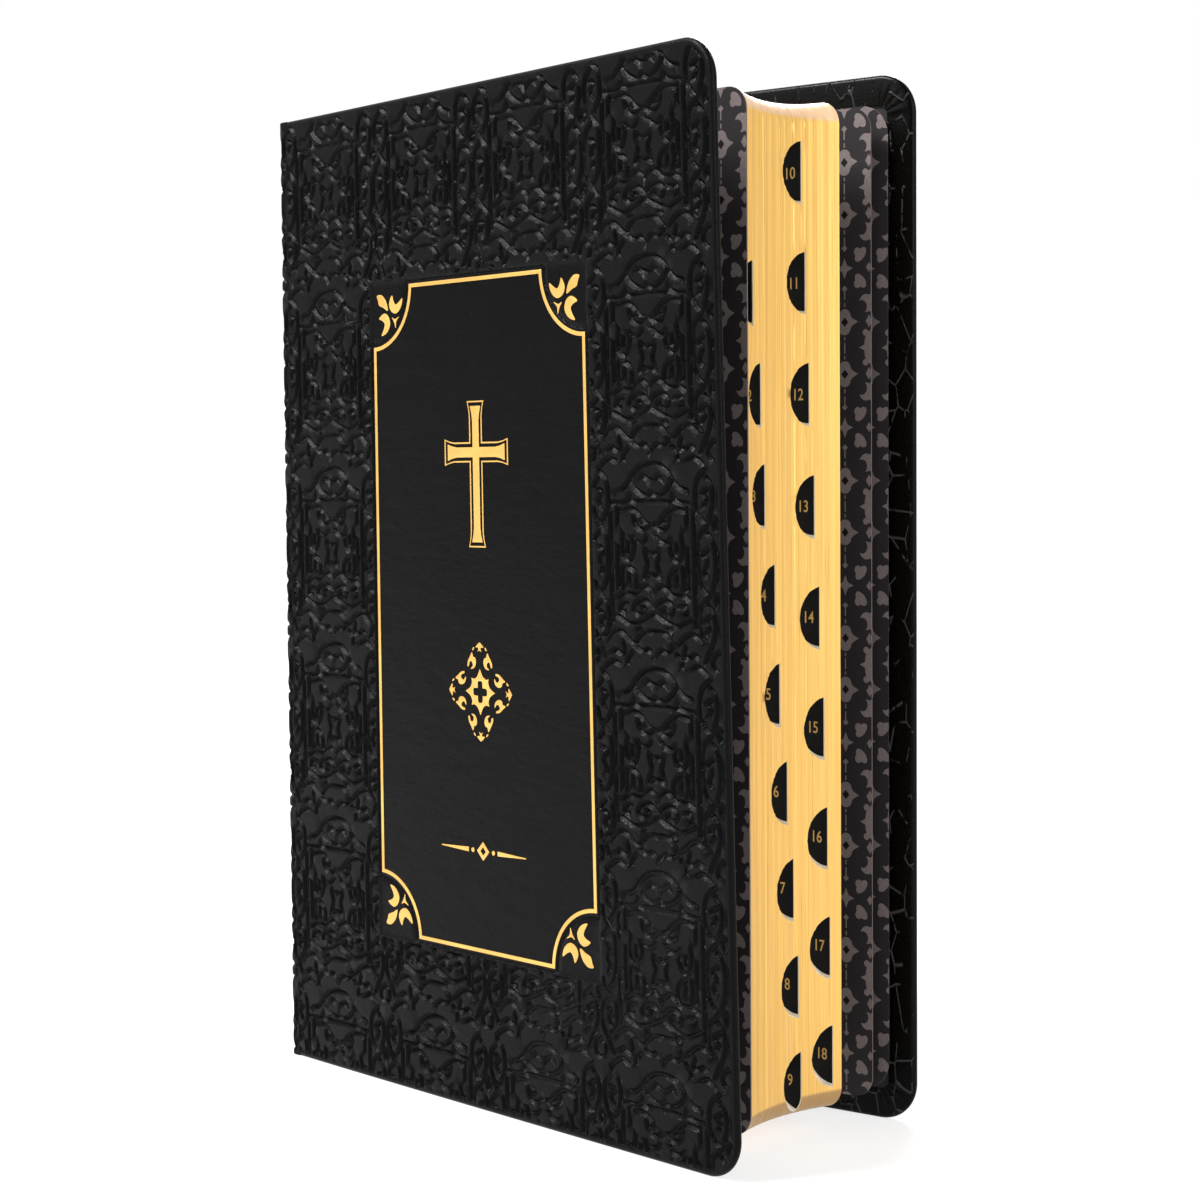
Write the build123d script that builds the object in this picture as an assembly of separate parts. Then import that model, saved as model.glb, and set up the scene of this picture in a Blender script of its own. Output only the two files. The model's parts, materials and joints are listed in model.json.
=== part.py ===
from build123d import *
import os

# A thumb-indexed bible with gilt page edges and a flexible embossed leather cover.
# It stands upright on its tail edge with both covers a little open.
#
# Frame: +X from the spine to the fore edge, +Y from the front cover to the back cover,
# +Z up. The origin is the middle of the footprint, on the surface that the book stands on.
# Every piece is first placed in the closed book, with X = 0 at the spine corners and
# Y = 0 at the middle of the text block, and is then turned about its hinge to rest.

# ---- Driving dimensions (mm) -------------------------------------------------------------
cover_height = 235.0
cover_reach = 158.0
cover_corner_radius = 9.0
leather_thickness = 0.7
board_thickness = 0.9
lining_thickness = 0.4
board_inset = 1.4
turn_in_width = 6.5
edge_roll = 0.6
lining_corner_radius = 7.0

leaf_width = 146.9
leaf_height = 222.0
leaf_corner_radius = 5.0
block_thickness = 31.2
tail_square = 5.5
block_rounding = 2.5
flyleaf_thickness = 0.3
flyleaf_gutter = 4.5
paper_gap = 0.1

spine_bulge = 2.2
spine_corner_radius = 1.4
least_corner_radius = 0.2
spine_leather_thickness = 1.0
spine_liner_thickness = 0.6
spine_liner_inset = 1.0
mull_thickness = 0.3
mull_margin = 12.0
tape_thickness = 0.3
tape_width = 14.0
tape_count = 4
headband_height = 1.6
headband_depth = 1.8
back_strip_reach = 16.0

hinge_x = 3.0
hinge_gap = 0.15
half_gap = 0.05

# How far each leaf and cover stands open from the closed book, in degrees.
front_cover_opening = 5.75
back_leaf_opening = 4.5
back_cover_opening = 6.2

# Thickness of pages in front of each leaf that carries an index label.
index_depths = [2.5, 6.0, 7.6, 11.5, 13.1, 15.6, 17.7, 19.1, 19.9,
                20.8, 21.9, 23.0, 24.4, 25.8, 26.9, 27.8, 28.4, 29.0]
index_rows = 9
first_row_top_drop = 43.0
first_row_pitch = 21.4
second_row_top_drop = 15.3
second_row_pitch = 24.3
notch_radius = 7.0
notch_lead = 1.0
label_radius = 6.3
label_thickness = 0.12
label_inset = 0.3
front_half_index = 6

# Gold-blocked ornaments on the front cover.
foil_thickness = 0.1
panel_center_x = 78.0
panel_bottom_z = 37.0
panel_width = 77.4
panel_height = 154.6
panel_scoop_radius = 14.3
panel_line_width = 0.9
spray_petal_length = 4.2
spray_petal_width = 2.6
spray_foot_inset = 6.84
spray_foot_gap = 0.9
spray_fan = 52.0
emblem_z = 97.3
emblem_reach = 13.2
emblem_core_radius = 4.2
emblem_petal_length = 7.6
emblem_petal_width = 4.4
emblem_hole_radius = 2.31
emblem_short_petal_length = 4.18
emblem_short_petal_width = 2.64
emblem_short_petal_gap = 0.4
cross_z = 147.0
cross_height = 30.0
cross_width = 20.0
cross_bar = 2.6
cross_arm_rise = 5.0
divider_z = 60.6
divider_width = 30.0
divider_line = 0.8
divider_lozenge = 3.2

# ---- Worked-out levels --------------------------------------------------------------------
cover_thickness = leather_thickness + board_thickness + lining_thickness
half_block = block_thickness / 2
flyleaf_face = half_block + paper_gap
lining_face = flyleaf_face + flyleaf_thickness + paper_gap
outer_face = lining_face + cover_thickness
leather_inner_face = outer_face - leather_thickness
board_inner_face = leather_inner_face - board_thickness
cover_start = hinge_x + hinge_gap
block_head = tail_square + leaf_height
spine_block_x = spine_liner_thickness
fore_edge_x = spine_block_x + block_rounding + leaf_width
foot_of_cover = (hinge_x, outer_face)


# ---- Shapes shared by several pieces -------------------------------------------------------
def plate(outline, near_y, far_y):
    """Solid of an X-Z outline between two Y levels."""
    sheet = Plane.XZ * outline
    return Pos(0, far_y, 0) * extrude(sheet, amount=far_y - near_y)


def rectangle_xz(low_x, high_x, low_z, high_z, radius=0.0):
    """Rectangle in X-Z whose two fore-edge corners are rounded."""
    width = high_x - low_x
    height = high_z - low_z
    face = Pos((low_x + high_x) / 2, (low_z + high_z) / 2) * Rectangle(width, height)
    if radius:
        corners = face.vertices().group_by(Axis.X)[-1]
        face = fillet(corners, radius)
    return face


def spine_face(inset):
    """Plan outline of the closed book's spine region, inset from the outer leather face."""
    side = outer_face - inset
    radius = max(spine_corner_radius - inset, least_corner_radius)
    back = inset
    bulge = -spine_bulge + inset
    outline = [
        Line((hinge_x, -side), (back + radius, -side)),
        RadiusArc((back + radius, -side), (back, -side + radius), -radius),
        ThreePointArc((back, -side + radius), (bulge, 0), (back, side - radius)),
        RadiusArc((back, side - radius), (back + radius, side), -radius),
        Line((back + radius, side), (hinge_x, side)),
        Line((hinge_x, side), (hinge_x, -side)),
    ]
    return make_face(outline)


def block_face(spine_offset):
    """Plan outline of the text block: convex at the spine and hollow at the fore edge."""
    spine_mid = spine_block_x + spine_offset
    spine_side = spine_mid + block_rounding
    outline = [
        Line((spine_side, -half_block), (fore_edge_x, -half_block)),
        ThreePointArc(
            (fore_edge_x, -half_block), (fore_edge_x - block_rounding, 0), (fore_edge_x, half_block)),
        Line((fore_edge_x, half_block), (spine_side, half_block)),
        ThreePointArc((spine_side, half_block), (spine_mid, 0), (spine_side, -half_block)),
    ]
    return make_face(outline)


def standing(face, low_z, high_z):
    """Solid of a plan face between two heights."""
    return Pos(0, 0, low_z) * extrude(face, amount=high_z - low_z)


def side_of_middle(solid, side):
    """The part of a solid in front of (side -1) or behind (side +1) the book's middle plane."""
    reach = 2 * cover_reach
    keep = Pos(0, side * (reach / 2 + half_gap), cover_height / 2) * Box(reach * 2, reach, reach * 2)
    return solid & keep


def flipped(solid, side):
    """A piece drawn for the back (+Y) side, put on the front side when side is -1."""
    return solid if side > 0 else mirror(solid, about=Plane.XZ)


def opened(solid, side, angle):
    """A piece turned about its cover hinge, which is a vertical line in the outer leather face."""
    hinge = Pos(foot_of_cover[0], side * foot_of_cover[1], 0)
    return hinge * Rot(0, 0, side * angle) * hinge.inverse() * solid


# ---- Covers --------------------------------------------------------------------------------
def cover_pieces(side):
    """Leather, board and lining of one cover, closed."""
    outside = rectangle_xz(cover_start, cover_reach, 0, cover_height, cover_corner_radius)
    leather = plate(outside, lining_face, outer_face)
    rolled = [edge for edge in leather.edges() if edge.center().X > cover_start + board_inset]
    rolled = [edge for edge in rolled if edge.bounding_box().size.Y < edge_roll]
    leather = fillet(rolled, edge_roll)
    board_outline = rectangle_xz(
        cover_start + board_inset, cover_reach - board_inset,
        board_inset, cover_height - board_inset, cover_corner_radius - board_inset)
    lining_outline = rectangle_xz(
        cover_start + board_inset, cover_reach - turn_in_width,
        turn_in_width, cover_height - turn_in_width, lining_corner_radius)
    board = plate(board_outline, board_inner_face, leather_inner_face)
    lining = plate(lining_outline, lining_face, board_inner_face)
    leather = leather - board - lining
    return [flipped(piece, side) for piece in (leather, board, lining)]


def flyleaf(side):
    """The free leaf of the endpapers, closed against the text block."""
    outline = rectangle_xz(flyleaf_gutter, fore_edge_x, tail_square, block_head, leaf_corner_radius)
    return flipped(plate(outline, flyleaf_face, flyleaf_face + flyleaf_thickness), side)


# ---- Text block ----------------------------------------------------------------------------
def notch_heights():
    """Height of the middle of each thumb notch, down the two staircases of the index."""
    heights = []
    for order in range(len(index_depths)):
        column, row = divmod(order, index_rows)
        drop = second_row_top_drop if column else first_row_top_drop
        pitch = second_row_pitch if column else first_row_pitch
        heights.append(block_head - drop - row * pitch)
    return heights


def fore_edge_at(depth_y):
    """X of the hollow fore edge at one depth of the block."""
    return fore_edge_x - block_rounding * (1 - (depth_y / half_block) ** 2)


def in_front_of(leaf_y):
    """Everything on the front side of one leaf."""
    reach = 2 * cover_reach
    return Pos(0, leaf_y - reach / 2, cover_height / 2) * Box(reach * 2, reach, reach * 2)


def between(near_y, far_y):
    """A slice of space between two leaves."""
    reach = 2 * cover_reach
    return Pos(0, (near_y + far_y) / 2, cover_height / 2) * Box(reach * 2, far_y - near_y, reach * 2)


def text_block():
    """The whole block of pages with its thumb notches cut."""
    outline = rectangle_xz(-cover_reach, fore_edge_x, tail_square, block_head, leaf_corner_radius)
    block = standing(block_face(0), tail_square, block_head) & plate(outline, -half_block, half_block)
    for depth, height in zip(index_depths, notch_heights()):
        leaf_y = depth - half_block
        ball = Pos(fore_edge_at(leaf_y), leaf_y + notch_lead, height) * Sphere(notch_radius)
        block = block - (ball & in_front_of(leaf_y))
    return block


def page_sections(block):
    """The block cut into the runs of pages between the indexed leaves."""
    cuts = [-half_block] + [depth - half_block for depth in index_depths] + [half_block]
    sections = []
    for near_y, far_y in zip(cuts, cuts[1:]):
        low = near_y + (half_gap if near_y == 0 else 0)
        high = far_y - (half_gap if far_y == 0 else 0)
        sections.append(block & between(low, high))
    return sections


def index_label(order):
    """The half-round label stuck on one indexed leaf, at the bottom of its notch."""
    leaf_y = index_depths[order] - half_block + (half_gap if order + 1 == front_half_index else 0)
    edge_x = fore_edge_at(leaf_y) - label_inset
    height = notch_heights()[order]
    disc = Pos(edge_x, height) * Circle(label_radius)
    half = disc & (Pos(edge_x - label_radius, height) * Rectangle(2 * label_radius, 2 * label_radius))
    return plate(half, leaf_y - label_thickness, leaf_y)


# ---- Spine ---------------------------------------------------------------------------------
def back_strip(outer_offset, inner_offset):
    """Plan strip that follows the rounded back of the block, between two offsets from it."""
    window = Rectangle(back_strip_reach, block_thickness)
    return (block_face(outer_offset) - block_face(inner_offset)) & window


def spine_pieces():
    """Leather, liner, mull, tapes and bands of the whole spine, before they are halved."""
    leather_inner = spine_face(spine_leather_thickness)
    leather = standing(spine_face(0) - leather_inner, 0, cover_height)
    liner_ring = leather_inner - spine_face(spine_leather_thickness + spine_liner_thickness)
    liner = standing(liner_ring, spine_liner_inset, cover_height - spine_liner_inset)
    liner = liner & between(-half_block, half_block)
    mull = standing(back_strip(-mull_thickness, 0), tail_square + mull_margin, block_head - mull_margin)
    return leather, liner, mull


def binding_tapes():
    """Cloth tapes that the sections are sewn to, let into the back of the block."""
    pitch = leaf_height / (tape_count + 1)
    levels = [tail_square + pitch * (step + 1) for step in range(tape_count)]
    strip = back_strip(0, tape_thickness)
    return [standing(strip, level - tape_width / 2, level + tape_width / 2) for level in levels]


def end_band(low_z):
    """Worked band along the spine end of the block's head or tail."""
    return standing(back_strip(0, headband_depth), low_z, low_z + headband_height)


# ---- Gold blocking ---------------------------------------------------------------------------
def foil(outline):
    """Gold foil laid on the outside of the closed front cover."""
    return plate(outline, -outer_face - foil_thickness, -outer_face)


def scooped_panel(inset):
    """Upright rectangle whose corners are cut away as quarter circles."""
    width = panel_width - 2 * inset
    height = panel_height - 2 * inset
    middle = (panel_center_x, panel_bottom_z + panel_height / 2)
    face = Pos(*middle) * Rectangle(width, height)
    for across in (-1, 1):
        for along in (-1, 1):
            corner = (middle[0] + across * panel_width / 2, middle[1] + along * panel_height / 2)
            face = face - Pos(*corner) * Circle(panel_scoop_radius + inset)
    return face


def petal(length, width):
    """Leaf-shaped outline that points along +Y from its foot at the origin."""
    return make_face([
        ThreePointArc((0, 0), (width / 2, length / 2), (0, length)),
        ThreePointArc((0, length), (-width / 2, length / 2), (0, 0)),
    ])


def corner_spray(across, along):
    """Three petals that fan out from one scooped corner of the panel."""
    corner_x = panel_center_x + across * panel_width / 2
    corner_z = panel_bottom_z + panel_height / 2 + along * panel_height / 2
    foot = (corner_x - across * spray_foot_inset, corner_z - along * spray_foot_inset)
    heading = {(1, 1): -45, (-1, 1): 45, (-1, -1): 135, (1, -1): -135}[(across, along)]
    petals = []
    for turn in (-spray_fan, 0, spray_fan):
        place = Pos(*foot) * Rot(0, 0, heading + turn) * Pos(0, spray_foot_gap)
        petals.append(foil(place * petal(spray_petal_length, spray_petal_width)))
    return petals


def emblem():
    """Four-way rosette: a pierced core with a long petal and two short ones on each arm."""
    ring = Circle(emblem_core_radius) - Circle(emblem_hole_radius)
    pieces = [foil(Pos(panel_center_x, emblem_z) * ring)]
    for quarter in range(4):
        arm = Pos(panel_center_x, emblem_z) * Rot(0, 0, 90 * quarter)
        tip = Pos(0, emblem_reach - emblem_petal_length) * petal(emblem_petal_length, emblem_petal_width)
        pieces.append(foil(arm * tip))
        diagonal = arm * Rot(0, 0, 45) * Pos(0, emblem_core_radius + emblem_short_petal_gap)
        pieces.append(foil(diagonal * petal(emblem_short_petal_length, emblem_short_petal_width)))
    return pieces


def cross():
    """Plain Latin cross in the upper part of the panel."""
    post = Pos(panel_center_x, cross_z) * Rectangle(cross_bar, cross_height)
    arms = Pos(panel_center_x, cross_z + cross_arm_rise) * Rectangle(cross_width, cross_bar)
    return foil(post + arms)


def divider():
    """Short rule broken by a lozenge, in the lower part of the panel."""
    lozenge = Pos(panel_center_x, divider_z) * Rot(0, 0, 45) * Rectangle(divider_lozenge, divider_lozenge)
    pieces = [foil(lozenge)]
    rule_length = (divider_width - 2 * divider_lozenge) / 2
    for across in (-1, 1):
        middle_x = panel_center_x + across * (divider_lozenge + rule_length / 2)
        pieces.append(foil(Pos(middle_x, divider_z) * Rectangle(rule_length, divider_line)))
    return pieces


# ---- The book ------------------------------------------------------------------------------
def build():
    """Every node of the book as (name, list of solids), in the closed book's coordinates."""
    nodes = {}
    names = {-1: "front", 1: "back"}
    half_names = {-1: "front", 1: "rear"}

    for side in (-1, 1):
        word = names[side]
        angle = front_cover_opening if side < 0 else back_cover_opening
        leaf_angle = 0 if side < 0 else back_leaf_opening
        leather, board, lining = cover_pieces(side)
        nodes[word + "_cover_leather"] = [opened(leather, side, angle)]
        nodes[word + "_cover_board"] = [opened(board, side, angle)]
        nodes[word + "_pastedown"] = [opened(lining, side, angle)]
        nodes[word + "_flyleaf"] = [opened(flyleaf(side), side, leaf_angle)]

    ornaments = {
        "gold_panel_line": [foil(scooped_panel(0) - scooped_panel(panel_line_width))],
        "gold_corner_sprays": [
            piece for across in (-1, 1) for along in (-1, 1) for piece in corner_spray(across, along)],
        "gold_rosette": emblem(),
        "gold_cross": [cross()],
        "gold_divider": divider(),
    }
    for name, pieces in ornaments.items():
        nodes[name] = [opened(piece, -1, front_cover_opening) for piece in pieces]

    leather, liner, mull = spine_pieces()
    tapes = binding_tapes()
    for side in (-1, 1):
        word = half_names[side]
        nodes["spine_leather_" + word] = [side_of_middle(leather, side)]
        nodes["spine_liner_" + word] = [side_of_middle(liner, side)]
        nodes["mull_" + word] = [side_of_middle(mull, side)]
        nodes["sewing_tapes_" + word] = [side_of_middle(tape, side) for tape in tapes]
        nodes["headband_" + word] = [side_of_middle(end_band(block_head), side)]
        nodes["tailband_" + word] = [side_of_middle(end_band(tail_square - headband_height), side)]

    block = text_block()
    for tape in tapes:
        block = block - tape
    for order, section in enumerate(page_sections(block)):
        nodes[f"page_section_{order + 1:02d}"] = [section]
    labels = [index_label(order) for order in range(len(index_depths))]
    nodes["index_labels_front"] = labels[:front_half_index - 1]
    nodes["index_labels_rear"] = labels[front_half_index - 1:]
    return nodes


def footprint_middle(nodes):
    """Middle of the whole book's box in plan."""
    boxes = [solid.bounding_box() for solids in nodes.values() for solid in solids]
    low_x, high_x = min(box.min.X for box in boxes), max(box.max.X for box in boxes)
    low_y, high_y = min(box.min.Y for box in boxes), max(box.max.Y for box in boxes)
    return (low_x + high_x) / 2, (low_y + high_y) / 2


closed_frame_nodes = build()
middle_x, middle_y = footprint_middle(closed_frame_nodes)

os.makedirs("parts", exist_ok=True)
for name, solids in closed_frame_nodes.items():
    placed = [Pos(-middle_x, -middle_y, 0) * solid for solid in solids]
    shape = placed[0] if len(placed) == 1 else Compound(children=placed)
    export_step(shape, f"parts/{name}.step")
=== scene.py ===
import json
import math

import bmesh
import bpy
import numpy as np
from mathutils import Matrix, Vector
from mathutils.geometry import delaunay_2d_cdt
from mathutils.kdtree import KDTree


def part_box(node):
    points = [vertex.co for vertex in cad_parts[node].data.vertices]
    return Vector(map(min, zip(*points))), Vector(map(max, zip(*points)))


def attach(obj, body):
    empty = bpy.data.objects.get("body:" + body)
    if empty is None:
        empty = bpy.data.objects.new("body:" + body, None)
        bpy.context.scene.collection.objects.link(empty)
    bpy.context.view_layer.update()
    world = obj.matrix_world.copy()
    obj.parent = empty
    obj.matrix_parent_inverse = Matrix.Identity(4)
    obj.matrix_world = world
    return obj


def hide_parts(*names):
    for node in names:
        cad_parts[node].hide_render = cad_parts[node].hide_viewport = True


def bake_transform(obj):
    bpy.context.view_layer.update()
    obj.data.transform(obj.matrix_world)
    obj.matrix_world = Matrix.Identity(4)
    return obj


bl_info = {
    "name": "Thumb-indexed bible",
    "version": (1, 0, 0),
    "blender": (4, 5, 0),
    "location": "3D View > Sidebar > Bible",
    "description": "Makes the leather, gold, pages and endpapers of a thumb-indexed bible",
    "category": "Object",
}

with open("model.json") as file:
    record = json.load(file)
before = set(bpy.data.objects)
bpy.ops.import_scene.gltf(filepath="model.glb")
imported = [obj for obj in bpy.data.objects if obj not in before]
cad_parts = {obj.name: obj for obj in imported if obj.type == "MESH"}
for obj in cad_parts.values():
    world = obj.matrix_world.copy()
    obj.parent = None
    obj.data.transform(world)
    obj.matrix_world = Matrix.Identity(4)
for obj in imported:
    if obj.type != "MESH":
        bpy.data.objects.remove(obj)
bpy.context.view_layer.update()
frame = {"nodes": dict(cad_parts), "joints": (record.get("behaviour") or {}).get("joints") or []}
JOINTS = {joint["name"]: joint for joint in frame["joints"]}

# ---- Where the closed book lies in the frame ----------------------------------------------------
# Pieces are drawn in millimetres in the closed book: X from the spine corners to the fore edge,
# Y from the middle of the block to the back cover, Z up. A cover or a leaf is drawn flat, with
# u along it from the spine, v up and n outwards from the leather's outer face.
MM = 0.001
FRONT_HINGE = np.array(JOINTS["front_cover_opening"]["pos_m"]) / MM
BACK_HINGE = np.array(JOINTS["back_cover_opening"]["pos_m"]) / MM
HINGE_X = 3.0
OUTER_FACE = (BACK_HINGE[1] - FRONT_HINGE[1]) / 2
ORIGIN = np.array([FRONT_HINGE[0] - HINGE_X, (BACK_HINGE[1] + FRONT_HINGE[1]) / 2, 0.0])
COVER_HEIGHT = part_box("front_cover_leather")[1].z / MM
SIDE_NAMES = {-1: "front", 1: "back"}
HALF_NAMES = {-1: "front", 1: "rear"}
HALF_BODIES = {-1: "front_half", 1: "root"}

# ---- The book's own sizes, in millimetres -------------------------------------------------------
COVER_REACH = 158.0
CORNER_RADIUS = 9.0
COVER_THICKNESS = 2.0
LEAF_GUTTER = 4.5
LEAF_EDGE = 150.0
BLOCK_TAIL = 5.5
BLOCK_HEAD = 227.5
HALF_BLOCK = 15.6
BLOCK_HOLLOW = 2.5
BLOCK_BACK = 0.6
EDGE_TRIM = 0.03
LEAF_CORNER = 5.0
HALF_GAP = 0.05
PAGE_FACE = 2.4
PAPER_FACE = 2.1

INDEX_DEPTHS = (2.5, 6.0, 7.6, 11.5, 13.1, 15.6, 17.7, 19.1, 19.9,
                20.8, 21.9, 23.0, 24.4, 25.8, 26.9, 27.8, 28.4, 29.0)
INDEX_ROWS = 9
ROW_DROPS = (43.0, 15.3)
ROW_PITCHES = (21.4, 24.3)
NOTCH_RADIUS = 7.0
NOTCH_LEAD = 1.0
FRONT_HALF_NOTCHES = 6

PANEL_LOW = np.array([39.3, 37.0])
PANEL_HIGH = np.array([116.7, 191.6])
SCOOP_RADIUS = 14.3
PANEL_CENTRE = (PANEL_LOW + PANEL_HIGH) / 2
RIM_OFFSET = 0.85
RIM_DEPTH = 0.3
ROSETTE_LEVEL = 97.3
DIVIDER_LEVEL = 60.6
FOIL_THICKNESS = 0.08
FOIL_BEVEL = 0.05
FOLD_GAP = 0.05
BOARD_INSET = 1.5
BOARD_LEVELS = (-0.75, -1.55)
LINING_START = 1.5
LINING_LEVELS = (-1.6, -COVER_THICKNESS - 0.06)
LABEL_LIFT = 0.45
GLUE_GAP = 0.02
DAMASK_START = 20.2

# ---- How finely pieces are drawn, in millimetres and in points ----------------------------------
GROOVE_STEP = 0.15
STAMP_CELL = 0.295
STAMP_GRID = 2.4
COVER_WALL_POINTS = 130
SPINE_WALL_POINTS = 190
SPINE_POINTS = 36
SHEET_WALL_POINTS = 40
NOTCH_POINTS = 17
STRIP_POINTS = 14
BAND_POINTS = 30
BLOCK_POINTS = 43
MERGE_DISTANCE = 0.000004
SHORTEST = 1e-9

# ---- The stamped pattern of the leather ---------------------------------------------------------
# One half of a tile, from its mirror line outwards and from its top downwards. Each stroke is
# the middle of a groove, drawn through a few points and smoothed.
TILE_WIDTH = 38.7
TILE_HEIGHT = 43.2
TILE_AXIS = 20.6
TILE_STROKES = (
    ((0.0, -0.3), (3.0, 0.1), (5.0, 1.3), (6.4, 2.9), (5.6, 4.3), (4.2, 5.4), (2.5, 6.2), (1.0, 6.2),
     (0.0, 5.4)),
    ((1.0, 2.9), (2.4, 2.2), (3.2, 2.6)),
    ((6.4, 2.9), (7.6, 4.0), (9.2, 5.0), (10.8, 5.2)),
    ((0.0, 7.6), (3.0, 7.6), (5.7, 7.6), (6.7, 6.6), (7.6, 7.4), (9.4, 7.9), (12.2, 7.9)),
    ((9.9, 9.5), (7.6, 9.1), (5.6, 9.3), (3.7, 10.5), (1.9, 12.1), (0.0, 12.7)),
    ((5.6, 10.7), (5.2, 12.3), (3.7, 13.5), (2.1, 13.4), (0.9, 12.6)),
    ((4.3, 11.8), (3.3, 12.0)),
    ((5.9, 15.1), (4.5, 16.2), (2.8, 16.0), (1.5, 15.0)),
    ((10.7, 8.9), (10.7, 12.7)),
    ((10.8, 17.0), (10.8, 20.8)),
    ((10.8, 22.2), (10.7, 26.0)),
    ((12.8, 9.8), (12.8, 14.8)),
    ((12.8, 16.0), (12.8, 21.4)),
    ((12.8, 22.6), (12.8, 27.4)),
    ((12.8, 28.8), (12.7, 33.6)),
    ((9.0, 14.6), (9.4, 17.0), (8.8, 19.2), (7.5, 20.2), (6.2, 19.2), (5.5, 17.2), (6.0, 15.4)),
    ((7.5, 16.4), (7.6, 18.2)),
    ((9.2, 21.4), (9.5, 23.8), (9.1, 26.0)),
    ((7.4, 21.4), (5.8, 22.3), (4.9, 24.2), (5.4, 26.0)),
    ((7.4, 23.0), (7.3, 25.0)),
    ((0.0, 18.3), (1.2, 18.5), (2.3, 17.7), (2.0, 19.2), (1.5, 20.7), (2.0, 22.1), (2.5, 23.6),
     (1.2, 23.0), (0.0, 23.2)),
    ((0.0, 27.2), (0.8, 26.1), (2.3, 25.3), (3.9, 25.8), (5.4, 27.0), (7.2, 27.2), (9.2, 27.0),
     (11.0, 28.0)),
    ((0.3, 29.9), (1.6, 28.7), (3.6, 28.3), (5.4, 29.0), (6.2, 30.3), (5.2, 31.3), (3.5, 31.2),
     (2.6, 30.4), (3.6, 29.9)),
    ((8.0, 29.4), (9.6, 29.2), (10.4, 30.6), (9.0, 31.2)),
    ((0.0, 31.0), (2.2, 32.0), (4.6, 33.0), (7.2, 33.6), (9.4, 32.8), (11.6, 31.8)),
    ((0.0, 35.0), (2.9, 35.0), (4.4, 36.0), (6.1, 37.6), (7.7, 37.0), (9.3, 35.7), (11.2, 35.0),
     (13.0, 35.5), (14.6, 37.0)),
    ((4.0, 34.2), (5.6, 34.7)),
    ((0.0, 40.6), (0.9, 39.4), (2.3, 38.7), (3.6, 39.2), (5.0, 38.6), (5.4, 37.9)),
    ((6.9, 39.6), (8.2, 40.9), (8.4, 42.4)),
    ((9.6, 37.6), (9.2, 39.6), (10.6, 40.0), (12.0, 39.2), (13.4, 39.9)),
    ((11.2, 42.2), (12.8, 41.6), (14.4, 42.2), (15.8, 43.2)),
    ((16.4, 1.0), (14.4, 2.6), (13.5, 5.0), (13.6, 8.6), (15.2, 11.2), (16.0, 11.6)),
    ((16.6, 2.6), (18.3, 4.6), (18.5, 8.0), (17.6, 10.6), (16.4, 12.6), (14.4, 14.6), (13.9, 17.4),
     (14.0, 22.6), (15.0, 25.4), (16.2, 26.4)),
    ((16.6, 14.0), (18.2, 15.6), (19.0, 18.4), (18.9, 22.8), (17.8, 25.8), (16.2, 27.8), (14.4, 29.4),
     (13.9, 32.0), (14.3, 35.0), (16.0, 36.6)),
    ((16.6, 29.0), (18.2, 30.6), (18.7, 33.4), (18.1, 36.0), (16.6, 38.4), (15.4, 40.8)),
    ((16.9, 5.0), (15.4, 5.8), (16.6, 7.2), (15.7, 8.8)),
    ((16.9, 17.2), (15.6, 18.2), (16.7, 19.8), (15.7, 21.8), (16.4, 23.2)),
    ((16.9, 31.2), (15.6, 32.0), (16.7, 33.3), (15.8, 34.7)),
    ((19.35, 10.9), (18.6, 12.2), (19.35, 13.6)),
    ((19.35, 26.4), (18.7, 27.6), (19.35, 28.9)),
    ((19.35, 38.2), (18.0, 39.4), (17.6, 41.0), (18.6, 42.4)),
)


# ---- Property groups ----------------------------------------------------------------------------
def length(name, description, default):
    """A length in metres."""
    return bpy.props.FloatProperty(
        name=name, description=description, default=default, unit="LENGTH", precision=5)


def turn(name, description, degrees):
    """An angle."""
    return bpy.props.FloatProperty(
        name=name, description=description, default=math.radians(degrees), subtype="ANGLE", unit="ROTATION")


def colour(name, description, hexadecimal):
    """A colour, given as it looks on a screen."""
    parts = [int(hexadecimal[k:k + 2], 16) / 255 for k in (0, 2, 4)]
    linear = [part / 12.92 if part <= 0.04045 else ((part + 0.055) / 1.055) ** 2.4 for part in parts]
    return bpy.props.FloatVectorProperty(
        name=name, description=description, default=linear, subtype="COLOR", size=3, min=0, max=1)


class BibleSizes(bpy.types.PropertyGroup):
    """Sizes of the leather, paper and gold."""
    front_opening: turn("Front cover opening", "How far the front cover stands open at rest", 5.75)
    back_opening: turn("Back cover opening", "How far the back cover stands open at rest", 6.2)
    back_leaf_opening: turn("Back flyleaf opening", "How far the back flyleaf stands open at rest", 4.5)
    groove_depth: length("Groove depth", "Depth of the stamped grooves in the leather", 0.00075)
    groove_width: length("Groove width", "Width of a stamped groove at the surface", 0.00165)
    panel_depth: length("Panel depth", "How far the smooth panel is pressed into the leather", 0.00025)
    cover_lean: length("Cover lean", "How far the front cover's fore edge leans in at its middle", -0.0012)
    cover_twist: length("Cover twist", "How far the front cover's fore edge leans out at its head", 0.003)
    turn_in: length("Turn-in", "Width of the leather border inside the covers", 0.0067)
    block_sag: length("Head sag", "How far the head edge sags in the middle of the block", 0.0013)
    panel_line: length("Panel line", "Width of the gold line round the panel", 0.0009)
    label_radius: length("Label radius", "Radius of a thumb-index label", 0.0066)
    figure_height: length("Figure height", "Height of the figures on the labels", 0.0029)
    damask_width: length("Damask width", "Distance between two columns of the endpaper pattern", 0.0128)
    damask_height: length("Damask height", "Height of one repeat of the endpaper pattern", 0.0354)


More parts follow.
